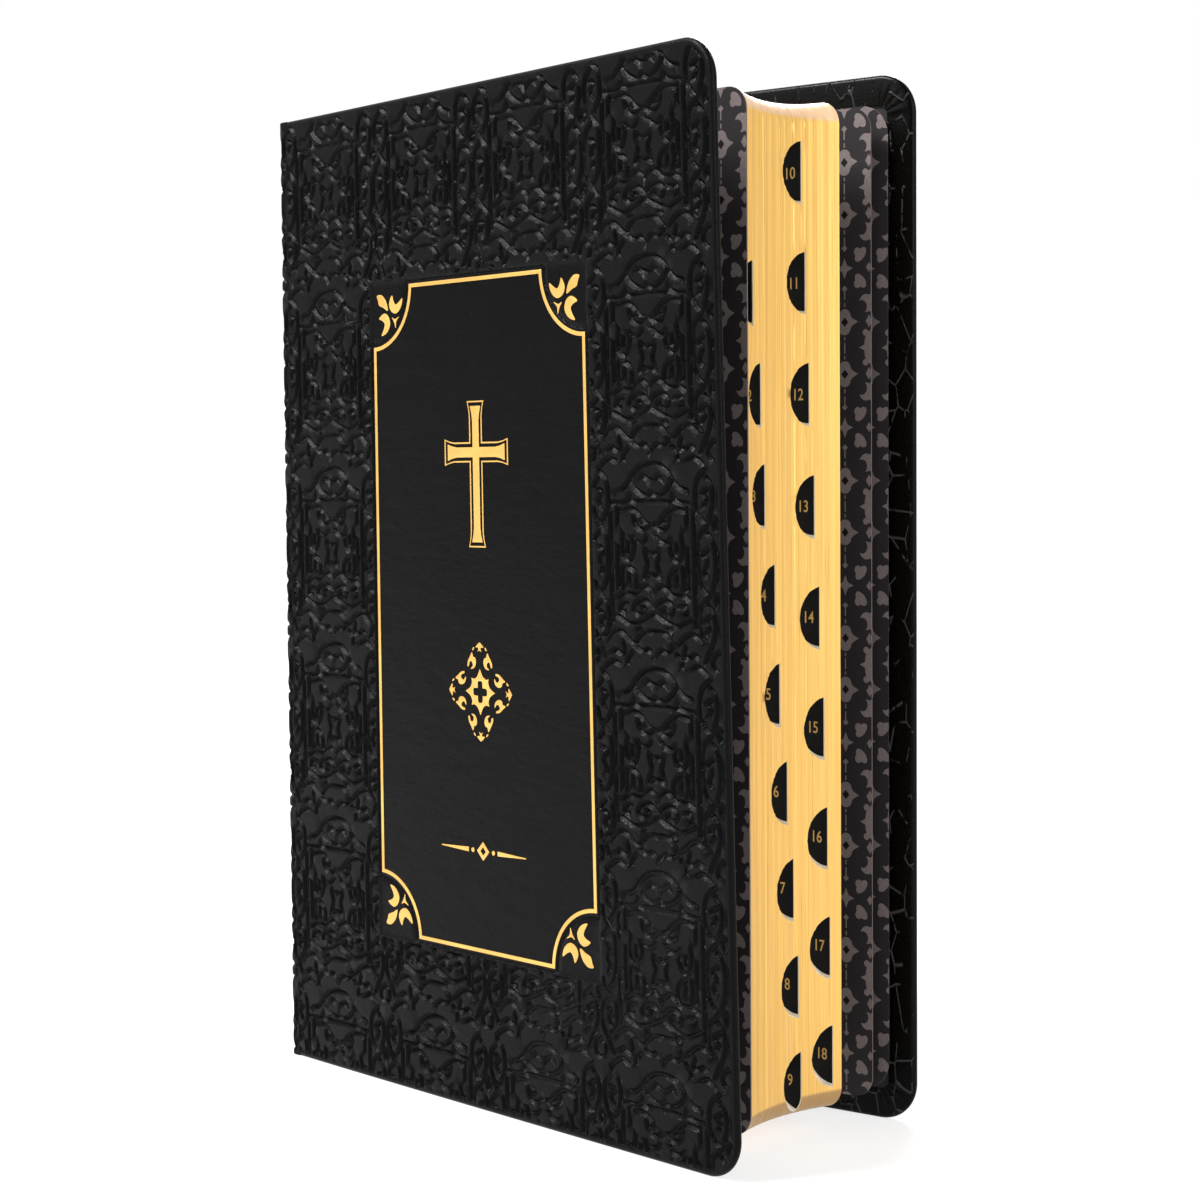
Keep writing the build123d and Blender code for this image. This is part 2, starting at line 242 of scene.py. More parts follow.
class BibleColours(bpy.types.PropertyGroup):
    """Colours of the leather, paper and gold."""
    leather: colour("Leather", "Colour of the covers", "040404")
    # Lighter colour of the raised tops. Set against the darker groove bottoms, it is painted shade in the
    # grooves; mixed in patches, it also looks like rubbed leather.
    leather_worn: colour("Leather, high spots", "Colour where the leather is rubbed", "0D0D0E")
    gold: colour("Gold foil", "Colour of the foil on the cover and labels", "F0BE66")
    gilt: colour("Gilt edge", "Colour of the page edges", "EFC06A")
    # Colour between the leaves. It is also used to paint shade that darkens the gilt edge towards the bottom.
    gilt_deep: colour("Gilt edge, deep", "Colour between the leaves of the gilt edge", "C99A48")
    paper: colour("Paper", "Colour of the pages", "E4D9C4")
    ink: colour("Ink", "Colour of the printing on the pages", "2A2624")
    endpaper: colour("Endpaper", "Ground colour of the endpapers", "221F21")
    damask: colour("Damask", "Colour of the pattern on the endpapers", "746A69")
    label: colour("Label", "Colour of the index labels", "050505")


SETTINGS = (BibleSizes, BibleColours)


def sizes():
    """The sizes, in millimetres, and the angles as they are."""
    group = bpy.context.scene.bible_sizes
    angles = ("front_opening", "back_opening", "back_leaf_opening")
    return {key: getattr(group, key) / (1 if key in angles else MM) for key in BibleSizes.__annotations__}


def colours():
    """The colours by name."""
    group = bpy.context.scene.bible_colours
    return {key: tuple(getattr(group, key)) for key in BibleColours.__annotations__}


# ---- Materials ----------------------------------------------------------------------------------
class Value:
    """An output of a material's node that can be used in sums and comparisons."""

    def __init__(self, nodes, socket):
        self.nodes = nodes
        self.socket = socket

    def __add__(self, other):
        return self.nodes.math("ADD", self, other)

    def __radd__(self, other):
        return self.nodes.math("ADD", other, self)

    def __sub__(self, other):
        return self.nodes.math("SUBTRACT", self, other)

    def __rsub__(self, other):
        return self.nodes.math("SUBTRACT", other, self)

    def __mul__(self, other):
        return self.nodes.math("MULTIPLY", self, other)

    def __rmul__(self, other):
        return self.nodes.math("MULTIPLY", other, self)

    def __truediv__(self, other):
        return self.nodes.math("DIVIDE", self, other)

    def __pow__(self, other):
        return self.nodes.math("POWER", self, other)

    def __lt__(self, other):
        return self.nodes.math("LESS_THAN", self, other)

    def __gt__(self, other):
        return self.nodes.math("GREATER_THAN", self, other)

    def __abs__(self):
        return self.nodes.math("ABSOLUTE", self)


class Nodes:
    """The nodes of one material."""

    def __init__(self, name):
        self.material = bpy.data.materials.new(name)
        self.material.use_nodes = True
        self.tree = self.material.node_tree
        self.shader = next(node for node in self.tree.nodes if node.type == "BSDF_PRINCIPLED")

    def add(self, kind, settings=(), inputs=()):
        """One node: its settings first, then the values or links of its sockets."""
        node = self.tree.nodes.new(kind)
        for key, setting in dict(settings).items():
            if key == "stops":
                while len(node.color_ramp.elements) < len(setting):
                    node.color_ramp.elements.new(1)
                for element, (position, shade) in zip(node.color_ramp.elements, setting):
                    element.position = position
                    element.color = (*shade, 1)
            else:
                setattr(node, key, setting)
        self.fill(node, dict(inputs))
        return node

    def fill(self, node, inputs):
        """Sets or links the sockets of a node."""
        for key, value in inputs.items():
            if isinstance(value, Value):
                self.tree.links.new(value.socket, node.inputs[key])
            else:
                node.inputs[key].default_value = value

    def math(self, operation, *values):
        node = self.add("ShaderNodeMath", {"operation": operation}, dict(enumerate(values)))
        return Value(self, node.outputs[0])

    def smooth(self, value, low, high):
        """0 below low, 1 above high and a smooth rise between them."""
        node = self.add(
            "ShaderNodeMapRange", {"interpolation_type": "SMOOTHSTEP"}, {0: value, 1: low, 2: high})
        return Value(self, node.outputs[0])

    def mix(self, factor, first, second):
        """A colour between two colours."""
        first, second = [shade if isinstance(shade, Value) else (*shade, 1) for shade in (first, second)]
        node = self.add("ShaderNodeMix", {"data_type": "RGBA"}, {0: factor, 6: first, 7: second})
        return Value(self, node.outputs[2])

    def surface(self):
        """Place on the flat piece: u, v and n, in metres."""
        node = self.add("ShaderNodeAttribute", {"attribute_name": "surface", "attribute_type": "GEOMETRY"})
        return Value(self, node.outputs["Vector"])

    def object_place(self):
        """Place in the piece, in metres."""
        return Value(self, self.add("ShaderNodeTexCoord").outputs["Object"])

    def split(self, vector):
        """The three numbers of a vector."""
        node = self.add("ShaderNodeSeparateXYZ", {}, {0: vector})
        return [Value(self, output) for output in node.outputs]

    def join(self, *values):
        """A vector of three numbers."""
        return Value(self, self.add("ShaderNodeCombineXYZ", {}, dict(enumerate(values))).outputs[0])

    def noise(self, place, scale, detail=3.0, roughness=0.55):
        node = self.add("ShaderNodeTexNoise", {}, {
            "Vector": place, "Scale": scale, "Detail": detail, "Roughness": roughness})
        return Value(self, node.outputs[0])

    def cells(self, place, scale, feature="F1", spread=1.0):
        node = self.add("ShaderNodeTexVoronoi", {"feature": feature}, {
            "Vector": place, "Scale": scale, "Randomness": spread})
        return Value(self, node.outputs["Distance"])

    def bump(self, height, distance, strength=1.0, under=None):
        inputs = {"Height": height, "Distance": distance, "Strength": strength}
        if under is not None:
            inputs["Normal"] = under
        return Value(self, self.add("ShaderNodeBump", {}, inputs).outputs[0])

    def finish(self, inputs):
        """Sets or links the sockets of the shader and returns the material."""
        self.fill(self.shader, {
            key: (*value, 1) if isinstance(value, tuple) else value for key, value in inputs.items()})
        return self.material


def leather_material():
    """Black bonded leather: fine pebbled grain, a soft sheen, and lighter, patchily rubbed high spots, with
    the groove bottoms darker as painted shade.
    """
    shades = colours()
    nodes = Nodes("embossed leather")
    place = nodes.surface()
    u, v, n = nodes.split(place)
    grain = nodes.cells(place, 1500.0, "DISTANCE_TO_EDGE")
    pores = nodes.noise(place, 2600.0, 2.0)
    creases = nodes.noise(nodes.join(u * 0.45, v, n), 260.0, 5.0, 0.7)
    cloud = nodes.noise(place, 45.0, 3.0)
    inside_u = nodes.smooth(abs(u - 0.078), 0.0391, 0.0386)
    inside_v = nodes.smooth(abs(v - 0.1143), 0.0777, 0.0772)
    panel = inside_u * inside_v
    height = nodes.smooth(grain, 0.0, 0.16) * (1 - 0.55 * panel) + pores * 0.4
    fine = nodes.bump(height, 0.00005, 0.55)
    wrinkles = nodes.noise(nodes.join(u * 0.35, v, n), 120.0, 4.0, 0.65)
    normal = nodes.bump(creases, 0.00022, 0.55, nodes.bump(wrinkles, 0.0006, 0.5 * panel, fine))
    # Painted shade: the base colour darkens with depth, so the groove bottoms and the pressed panel look
    # shaded against lighter raised tops. The cloud makes the tops patchy like rubbed leather.
    groove_shade_mask = nodes.smooth(n, -0.0004, 0.00002)
    shade = nodes.mix(groove_shade_mask * (0.55 + 0.45 * cloud), shades["leather"], shades["leather_worn"])
    return nodes.finish({
        "Base Color": shade, "Roughness": 0.29 + 0.12 * cloud + 0.05 * pores, "Normal": normal,
        "Specular IOR Level": 0.07})


def turn_in_material():
    """The same leather turned in over the boards: pressed flat, glossy, with open cracks whose lighter lines
    are partly worn leather and partly a painted highlight on the creases.
    """
    shades = colours()
    nodes = Nodes("turned-in leather")
    place = nodes.surface()
    u, v, n = nodes.split(place)
    cracks = nodes.cells(nodes.join(u, v * 0.62, n), 210.0, "DISTANCE_TO_EDGE", 0.9)
    line = 1 - nodes.smooth(cracks, 0.008, 0.05)
    broken = nodes.smooth(nodes.noise(place, 230.0, 2.0), 0.47, 0.58)
    pebbles = nodes.cells(place, 1500.0, "DISTANCE_TO_EDGE")
    fine = nodes.bump(nodes.smooth(pebbles, 0.0, 0.2), 0.00003, 0.4)
    normal = nodes.bump(line * broken, 0.0005, 1.0, fine)
    dark = tuple(part * 0.3 for part in shades["leather"])
    # Painted highlight: the crack lines are lightened in the base colour, partly as worn leather and partly
    # in place of the highlight their creases would catch.
    shade = nodes.mix(line * broken * 0.8, dark, (0.05, 0.05, 0.05))
    return nodes.finish({"Base Color": shade, "Roughness": 0.26 + 0.1 * pebbles, "Normal": normal,
                         "Specular IOR Level": 0.08})


def foil_material(name="gold foil", strength=1.0):
    """Gold foil stamped into leather: bright and thin, with the leather's grain showing through."""
    shades = colours()
    nodes = Nodes(name)
    place = nodes.surface()
    grain = nodes.noise(place, 900.0, 3.0)
    patches = nodes.noise(place, 70.0, 3.0)
    bright = tuple(part * strength for part in shades["gold"])
    deep = tuple(part * 0.82 for part in bright)
    shade = nodes.mix(nodes.smooth(patches, 0.3, 0.7), deep, bright)
    return nodes.finish({
        "Base Color": shade, "Metallic": 0.55, "Roughness": 0.30 + 0.18 * grain,
        "Normal": nodes.bump(grain, 0.00006, 0.5)})


def gilt_material():
    """Gilded page edges: fine leaf lines, darker between the leaves and at the tail corner, and darker
    towards the bottom as painted shade.
    """
    shades = colours()
    nodes = Nodes("gilt page edges")
    place = nodes.object_place()
    x, y, z = nodes.split(place)
    leaves = nodes.noise(nodes.join(x * 0.004, y, z * 0.004), 5200.0, 2.0, 0.6)
    bands = nodes.noise(nodes.join(x * 0.01, y, z * 0.008), 1300.0, 3.0, 0.65)
    lines = nodes.smooth(nodes.noise(nodes.join(x * 0.01, y, z * 0.012), 2100.0, 2.0, 0.5), 0.62, 0.70)
    smears = nodes.noise(nodes.join(x, y * 3.0, z * 0.5), 60.0, 3.0)
    brown = tuple(part * 0.55 for part in shades["gilt_deep"])
    shade = nodes.mix(0.4 + 0.6 * nodes.smooth(leaves, 0.3, 0.62), shades["gilt_deep"], shades["gilt"])
    shade = nodes.mix(nodes.smooth(bands, 0.46, 0.8) * 0.14, shade, shades["gilt_deep"])
    shade = nodes.mix(lines * 0.36, shade, brown)
    # Painted shade: the edge darkens towards the bottom, as it looks when lit from above.
    shade = nodes.mix(nodes.smooth(z, 0.2, 0.02) * 0.3, shade, shades["gilt_deep"])
    corner_x = (ORIGIN[0] + LEAF_EDGE - LEAF_CORNER) * MM
    on_corner = nodes.smooth(x, corner_x - 0.006, corner_x)
    head = nodes.smooth(z, (BLOCK_HEAD - LEAF_CORNER) * MM, (BLOCK_HEAD - LEAF_CORNER + 0.9) * MM) * on_corner
    streaks = nodes.noise(nodes.join(x * 0.3 + z * 0.4, y, z * 0.2), 700.0, 2.0)
    rubbed = nodes.mix(streaks, (0.48, 0.27, 0.16), (0.78, 0.58, 0.40))
    shade = nodes.mix(head * 0.85, shade, rubbed)
    tail = nodes.smooth(z, (BLOCK_TAIL + LEAF_CORNER) * MM, (BLOCK_TAIL + LEAF_CORNER - 0.9) * MM)
    shade = nodes.mix(tail * 0.75 * on_corner, shade, (0.26, 0.15, 0.07))
    return nodes.finish({
        "Base Color": shade, "Metallic": 0.42 - 0.25 * head, "Roughness": 0.36 + 0.14 * smears,
        "Normal": nodes.bump(leaves, 0.00003, 0.4)})


def page_material():
    """A printed page: two columns of plain short strokes in place of words, on thin warm paper."""
    shades = colours()
    nodes = Nodes("printed pages")
    u, v, n = nodes.split(nodes.surface())
    pitch = 0.0027
    row = nodes.math("FLOOR", v / pitch)
    across_row = v / pitch - row
    words = nodes.noise(nodes.join(u, row * 0.31, 0.0), 520.0, 0.0)
    letters = nodes.noise(nodes.join(u, v * 1.2, 0.0), 2300.0, 1.0)
    stroke = (across_row > 0.34) * (across_row < 0.74) * (words > 0.40) * (letters > 0.42)
    column = (abs(u - 0.046) < 0.0275) + (abs(u - 0.106) < 0.0275)
    inside = column * (v > 0.020) * (v < 0.206)
    heading = (abs(v - 0.213) < 0.0009) * (abs(u - 0.076) < 0.0575)
    fibres = nodes.noise(nodes.join(u, v, n), 700.0, 4.0)
    shade = nodes.mix(fibres * 0.3, shades["paper"], (0.72, 0.64, 0.52))
    shade = nodes.mix(stroke * inside * 0.85 + heading * 0.6, shade, shades["ink"])
    return nodes.finish({
        "Base Color": shade, "Roughness": 0.7 + 0.1 * fibres, "Normal": nodes.bump(fibres, 0.00003, 0.4)})


def cut_paper_material():
    """Pages cut through in a thumb notch: paper whiter than the pages, painted light so the cuts read bright,
    with the leaf lines showing.
    """
    shades = colours()
    nodes = Nodes("cut pages")
    x, y, z = nodes.split(nodes.object_place())
    leaves = nodes.noise(nodes.join(x * 0.02, y, z * 0.02), 6000.0, 1.0)
    # Painted light: a whiter copy of the page paper, so the cut notches read bright though they lie in shade.
    shade = nodes.mix(leaves * 0.2, (0.88, 0.86, 0.82), shades["paper"])
    return nodes.finish({
        "Base Color": shade, "Roughness": 0.62 + 0.1 * leaves, "Normal": nodes.bump(leaves, 0.00006, 0.6)})


def endpaper_material(name="damask endpaper", shift=0.0023):
    """Endpaper with a small mirrored damask: flower chains, crosses, scrolls and leaves."""
    shades = colours()
    given = sizes()
    nodes = Nodes(name)
    place = nodes.surface()
    u, v, _ = nodes.split(place)
    width, height = given["damask_width"], given["damask_height"]
    across = abs(nodes.math("WRAP", (u - shift) * 1000.0, width / 2, -width / 2))
    along = abs(nodes.math("WRAP", v * 1000.0 + DAMASK_START, height / 2, -height / 2))

    def disc(x, y, radius_x, radius_y):
        return ((across - x) / radius_x) ** 2.0 + ((along - y) / radius_y) ** 2.0 < 1.0

    def lozenge(x, y, radius_x, radius_y):
        return abs(across - x) / radius_x + abs(along - y) / radius_y < 1.0

    def bar(low_x, high_x, low_y, high_y):
        return (across > low_x) * (across < high_x) * (along > low_y) * (along < high_y)

    def slanted(x, y, radius_long, radius_short, angle):
        cosine, sine = math.cos(angle), math.sin(angle)
        long_way = (across - x) * cosine + (along - y) * sine
        short_way = (along - y) * cosine - (across - x) * sine
        return (long_way / radius_long) ** 2.0 + (short_way / radius_short) ** 2.0 < 1.0

    flower = disc(0, 10.5, 1.55, 1.5) + disc(0, 13.3, 1.55, 1.5)
    flower = flower + lozenge(0, 11.9, 3.5, 1.9) + disc(1.0, 11.9, 1.2, 1.5)
    core = lozenge(0, 11.9, 0.95, 1.05)
    cross_arms = lozenge(0, 0, 0.95, 2.3) + lozenge(0, 0, 2.2, 0.95)
    chain = bar(-1, 0.17, 5.0, 6.9) + bar(-1, 0.17, 7.6, 8.6) + lozenge(0, 4.5, 0.75, 0.75)
    chain = chain + bar(-1, 0.17, 15.2, 16.0) + bar(-1, 0.17, 16.5, 17.8)
    leaf = slanted(4.2, 2.9, 1.9, 1.05, 0.85) + slanted(3.4, 3.5, 0.9, 1.0, 0.2)
    comma = disc(5.6, 7.9, 1.75, 2.0) * (1 - disc(4.5, 8.7, 1.35, 1.5))
    bracket = disc(6.4, 17.7, 1.25, 3.6) + lozenge(5.9, 17.7, 2.1, 1.0) + disc(5.5, 14.4, 0.75, 0.75)
    bud = lozenge(6.4, 11.9, 0.9, 1.4) + lozenge(6.4, 0, 0.8, 1.1)
    pattern = flower * (1 - core) + cross_arms + chain + leaf + comma + bracket + bud
    pattern = nodes.math("MINIMUM", pattern, 1.0)
    fibres = nodes.noise(place, 1400.0, 3.0)
    speckle = nodes.smooth(nodes.noise(place, 2600.0, 2.0), 0.35, 0.6)
    printed = nodes.mix(speckle * 0.35, shades["damask"], tuple(part * 0.55 for part in shades["damask"]))
    ground = nodes.mix(fibres * 0.6, shades["endpaper"], tuple(part * 1.9 for part in shades["endpaper"]))
    ground = nodes.mix(core * 0.8, ground, (0.003, 0.003, 0.003))
    return nodes.finish({
        "Base Color": nodes.mix(pattern, ground, printed),
        "Roughness": 0.62 - 0.1 * pattern + 0.1 * fibres,
        "Normal": nodes.bump(fibres, 0.00003, 0.4), "Specular IOR Level": 0.15})


def paper_edge_material():
    """The cut edge of the heavy endpaper."""
    nodes = Nodes("endpaper edge")
    fibres = nodes.noise(nodes.object_place(), 1800.0, 3.0)
    shade = nodes.mix(fibres, (0.055, 0.042, 0.038), (0.16, 0.125, 0.11))
    return nodes.finish({"Base Color": shade, "Roughness": 0.75 + 0.1 * fibres})


def label_material():
    """Coated black paper of the index labels."""
    shades = colours()
    nodes = Nodes("index label paper")
    fibres = nodes.noise(nodes.object_place(), 2500.0, 3.0)
    shade = nodes.mix(fibres * 0.5, shades["label"], tuple(part * 2.2 for part in shades["label"]))
    return nodes.finish({
        "Base Color": shade, "Roughness": 0.45 + 0.15 * fibres, "Normal": nodes.bump(fibres, 0.00002, 0.4),
        "Specular IOR Level": 0.12})


def woven_material(name, warp, weft, pitch, rough):
    """Plain weave: two sets of threads, over and under."""
    nodes = Nodes(name)
    _, y, z = nodes.split(nodes.object_place())
    turns = 2 * math.pi / (pitch * MM)
    upright = nodes.math("SINE", y * turns)
    level = nodes.math("SINE", z * turns)
    weave = upright * level
    fuzz = nodes.noise(nodes.object_place(), 3000.0, 3.0)
    shade = nodes.mix(nodes.smooth(weave, -0.5, 0.5), warp, weft)
    return nodes.finish({
        "Base Color": shade, "Roughness": rough + 0.1 * fuzz,
        "Normal": nodes.bump(weave + fuzz * 0.6, pitch * MM * 0.2, 0.8)})


def card_material(name, low, high):
    """Pressed grey or brown card with loose fibres."""
    nodes = Nodes(name)
    place = nodes.object_place()
    fibres = nodes.noise(place, 1200.0, 5.0, 0.7)
    flecks = nodes.smooth(nodes.noise(place, 420.0, 2.0), 0.6, 0.72)
    shade = nodes.mix(fibres, low, high)
    shade = nodes.mix(flecks * 0.4, shade, tuple(part * 0.5 for part in low))
    return nodes.finish({
        "Base Color": shade, "Roughness": 0.8 + 0.1 * fibres, "Normal": nodes.bump(fibres, 0.00006, 0.6)})


def thread_material():
    """Twisted silk thread of the end bands, light and dark by turns along the band."""
    nodes = Nodes("end band thread")
    x, y, z = nodes.split(nodes.object_place())
    stripe_pitch, twist_pitch = 0.0024, 0.00035
    stripe = nodes.math("SINE", y * (2 * math.pi / stripe_pitch))
    twist = nodes.math("SINE", (y + z * 0.8 + x * 0.8) * (2 * math.pi / twist_pitch))
    shade = nodes.mix(nodes.smooth(stripe, -0.1, 0.1), (0.015, 0.014, 0.014), (0.62, 0.45, 0.17))
    return nodes.finish({
        "Base Color": shade, "Roughness": 0.42 + 0.1 * nodes.smooth(twist, -1.0, 1.0),
        "Normal": nodes.bump(twist, 0.00004, 0.5), "Sheen Weight": 0.3})


def floor_material():
    """Plain pale paper sweep."""
    nodes = Nodes("pale floor")
    cloud = nodes.noise(nodes.object_place(), 3.0, 2.0)
    shade = nodes.mix(cloud, (0.30, 0.30, 0.30), (0.33, 0.33, 0.33))
    return nodes.finish({
        "Base Color": shade, "Roughness": 0.75 + 0.05 * cloud, "Specular IOR Level": 0.0,
        "Emission Color": (1.0, 1.0, 1.0), "Emission Strength": 0.72})


# ---- Drawing curves -----------------------------------------------------------------------------
def smoothed(points, step):
    """A smooth curve through points, sampled at about even steps."""
    points = np.asarray(points, float)
    padded = np.vstack([2 * points[0] - points[1], points, 2 * points[-1] - points[-2]])
    samples = []
    for k in range(1, len(padded) - 2):
        before, start, end, after = padded[k - 1:k + 3]
        count = max(2, int(np.linalg.norm(end - start) / step))
        t = np.linspace(0, 1, count, endpoint=False)[:, None]
        samples.append(0.5 * (2 * start + (end - before) * t
                              + (2 * before - 5 * start + 4 * end - after) * t ** 2
                              + (3 * start - before - 3 * end + after) * t ** 3))
    samples.append(padded[-2:-1])
    return np.vstack(samples)


def arc(centre, radius, low, high, count):
    """Points on an arc, from one angle in degrees to another."""
    angles = np.radians(np.linspace(low, high, count))
    return np.column_stack([centre[0] + radius * np.cos(angles), centre[1] + radius * np.sin(angles)])


def ramp(value, low, high):
    """Smooth rise from 0 at low to 1 at high."""
    t = np.clip((np.asarray(value, float) - low) / (high - low), 0, 1)
    return t * t * (3 - 2 * t)


# ---- Flat sheets placed on the book -------------------------------------------------------------
def cover_place(side, angle, lean=0.0, twist=0.0):
    """Where a point of a cover or a leaf lies in the frame, when it is turned open about its hinge."""
    def place(u, v, n):
        reach = np.clip((u - HINGE_X) / (COVER_REACH - HINGE_X), 0, 1)
        n = n + reach ** 1.3 * (lean + twist * (2 * v / COVER_HEIGHT - 1))
        along = u - HINGE_X
        x = HINGE_X + along * math.cos(angle) - n * math.sin(angle)
        y = side * (OUTER_FACE + along * math.sin(angle) + n * math.cos(angle))
        return (np.column_stack([x, y, v]) + ORIGIN) * MM
    return place


def covers():
    """Place functions of the front and back covers."""
    given = sizes()
    front = cover_place(-1, given["front_opening"], given["cover_lean"], given["cover_twist"])
    back = cover_place(1, given["back_opening"])
    return {-1: front, 1: back}


def spine_path():
    """Outer face of one half of the spine, from the hinge to the middle: points and the length along them."""
    corner = 1.4
    bulge = 2.2
    side = OUTER_FACE
    rounding = arc((corner, side - corner), corner, 90, 180, 12)
    chord = side - corner
    radius = (chord ** 2 + bulge ** 2) / (2 * bulge)
    half_angle = math.degrees(math.asin(chord / radius))
    back = arc((radius - bulge, 0), radius, 180 - half_angle, 180, 40)
    points = np.vstack([[[HINGE_X, side]], rounding, back[1:]])
    steps = np.concatenate([[0], np.cumsum(np.linalg.norm(np.diff(points, axis=0), axis=1))])
    return points, steps


def spine_place(side):
    """Where a point of half of the spine lies: u runs back from the hinge, v up and n outwards."""
    points, steps = spine_path()
    tangents = np.gradient(points, axis=0)
    normals = np.column_stack([-tangents[:, 1], tangents[:, 0]])
    normals = -normals / np.linalg.norm(normals, axis=1)[:, None]
    outwards = np.sign(normals[0, 1]) * normals

    def place(u, v, n):
        run = HINGE_X - u
        x = np.interp(run, steps, points[:, 0]) + n * np.interp(run, steps, outwards[:, 0])
        y = np.interp(run, steps, points[:, 1]) + n * np.interp(run, steps, outwards[:, 1])
        return (np.column_stack([x, side * y, v]) + ORIGIN) * MM
    return place


# ---- Making meshes ------------------------------------------------------------------------------
class Sheet:
    """Points (u, v, n) and faces of a piece that is drawn flat and then placed."""

    def __init__(self):
        self.points = []
        self.faces = []
        self.slots = []
        self.count = 0

    def add(self, points, faces, slot=0):
        """Adds points and faces, and returns the index of the first point."""
        start = self.count
        self.points.append(np.asarray(points, float).reshape(-1, 3))
        self.count += len(self.points[-1])
        self.faces.extend([tuple(start + k for k in face) for face in faces])
        self.slots.extend([slot] * len(faces))
        return start

    def band(self, first, second, slot=0, closed=True):
        """Faces between two rows of the same number of points."""
        count = len(first)
        last = count if closed else count - 1
        faces = [(k, (k + 1) % count, count + (k + 1) % count, count + k) for k in range(last)]
        self.add(np.vstack([first, second]), faces, slot)

    def grid(self, rows, slot=0):
        """Faces over rows of points."""
        for first, second in zip(rows, rows[1:]):
            self.band(first, second, slot, closed=False)

    def piece(self, name, place, materials, smooth=True):
        """The placed piece, with doubles merged and its faces pointing outwards."""
        points = np.vstack(self.points)
        mesh = bpy.data.meshes.new(name)
        mesh.from_pydata(place(points[:, 0], points[:, 1], points[:, 2]).tolist(), [], self.faces)
        mesh.polygons.foreach_set("material_index", self.slots)
        surface = mesh.attributes.new("surface", "FLOAT_VECTOR", "POINT")
        surface.data.foreach_set("vector", (points * MM).astype(np.float32).ravel())
        return make_piece(name, mesh, materials, smooth)


def make_piece(name, mesh, materials, smooth=True, merge=MERGE_DISTANCE, outwards=True):
    """An object of a mesh, cleaned, with its materials."""
    work = bmesh.new()
    work.from_mesh(mesh)
    if merge:
        bmesh.ops.remove_doubles(work, verts=work.verts, dist=merge)
    bmesh.ops.dissolve_degenerate(work, edges=work.edges, dist=0.000001)
    if outwards:
        bmesh.ops.recalc_face_normals(work, faces=work.faces)
    for face in work.faces:
        face.smooth = smooth
    work.to_mesh(mesh)
    work.free()
    for material in materials:
        mesh.materials.append(material)
    piece = bpy.data.objects.new(name, mesh)
    bpy.context.scene.collection.objects.link(piece)
    if smooth:
        mesh.set_sharp_from_angle(angle=math.radians(42))
    return piece


def triangles(loop, inner):
    """Triangles of the area in a loop, through inner points: all points and the faces."""
    coords = [Vector(point) for point in (np.vstack([loop, inner]) if len(inner) else loop)]
    count = len(loop)
    edges = [(k, (k + 1) % count) for k in range(count)]
    points, _, faces, _, _, _ = delaunay_2d_cdt(coords, edges, [], 1, 1e-5)
    return np.array([tuple(point) for point in points]), faces


def leaf_loop(low, high, radius, step):
    """Tail, fore edge and head of a leaf with rounded fore corners: points, and the way out of each."""
    (low_u, low_v), (high_u, high_v) = low, high
    flat_u = high_u - radius
    count = max(2, int((flat_u - low_u) / step))
    rise = max(2, int((high_v - low_v - 2 * radius) / step))
    turns = max(8, int(radius * 1.6 / step * 2))
    tail = np.column_stack([np.linspace(low_u, flat_u, count), np.full(count, low_v)])
    corner = arc((flat_u, low_v + radius), radius, -90, 0, turns)
    fore = np.column_stack([np.full(rise, high_u), np.linspace(low_v + radius, high_v - radius, rise)])
    upper = arc((flat_u, high_v - radius), radius, 0, 90, turns)
    head = tail[::-1] * [1, 0] + [0, high_v]
    parts = [(tail, (0, -1)), (corner, None), (fore, (1, 0)), (upper, None), (head, (0, 1))]
    points, ways = [], []
    centres = {1: (flat_u, low_v + radius), 3: (flat_u, high_v - radius)}
    for order, (part, way) in enumerate(parts):
        trimmed = part if order in (1, 3) else part[(0 if order == 0 else 1):(None if order == 4 else -1)]
        points.append(trimmed)
        if way is None:
            ways.append((trimmed - centres[order]) / radius)
        else:
            ways.append(np.tile(np.array(way, float), (len(trimmed), 1)))
    return np.vstack(points), np.vstack(ways)


def fixed_rings(sections, steps, wall_count):
    """Rings whose walls have a fixed number of points, so that they always match."""
    made = []
    for shift, level in steps:
        moved = [points + ways * shift for points, ways in sections]
        parts = []
        for order, here in enumerate(moved):
            following = moved[(order + 1) % len(moved)]
            parts.extend([here, np.linspace(here[-1], following[0], wall_count)[1:-1]])
        ring = np.vstack(parts)
        made.append(np.column_stack([ring, np.full(len(ring), float(level))]))
    return made


def flat_sheet(name, place, low, high, radius, outer, inner, materials, step=4.0):
    """A thin sheet such as a board, a flyleaf or a pastedown: two faces and its cut edge."""
    loop, ways = leaf_loop(low, high, radius, step)
    edge_rings = fixed_rings([(loop, ways)], [(0, outer), (0, inner)], SHEET_WALL_POINTS)
    outline = edge_rings[0][:, :2]
    u = np.arange(low[0] + step, high[0] - 1, step)
    v = np.arange(low[1] + step, high[1] - 1, step)
    inner_points = np.array([
        (a, b) for a in u for b in v if inside_distance(a, b, low, high, radius) > step * 0.5])
    points, faces = triangles(outline, inner_points)
    sheet = Sheet()
    for level, slot in ((outer, 0), (inner, 1)):
        sheet.add(np.column_stack([points, np.full(len(points), level)]), faces, slot)
    sheet.band(edge_rings[0], edge_rings[1], 2)
    return sheet.piece(name, place, materials)


def inside_distance(u, v, low, high, radius):
    """Distance from a point in a leaf's outline to its nearest edge, negative outside."""
    u, v = np.asarray(u, float), np.asarray(v, float)
    straight = np.minimum(np.minimum(u - low[0], high[0] - u), np.minimum(v - low[1], high[1] - v))
    if not radius:
        return straight
    over_u = u - (high[0] - radius)
    over_v = np.maximum(v - (high[1] - radius), (low[1] + radius) - v)
    corner = (over_u > 0) & (over_v > 0)
    return np.where(corner, radius - np.hypot(over_u, over_v), straight)


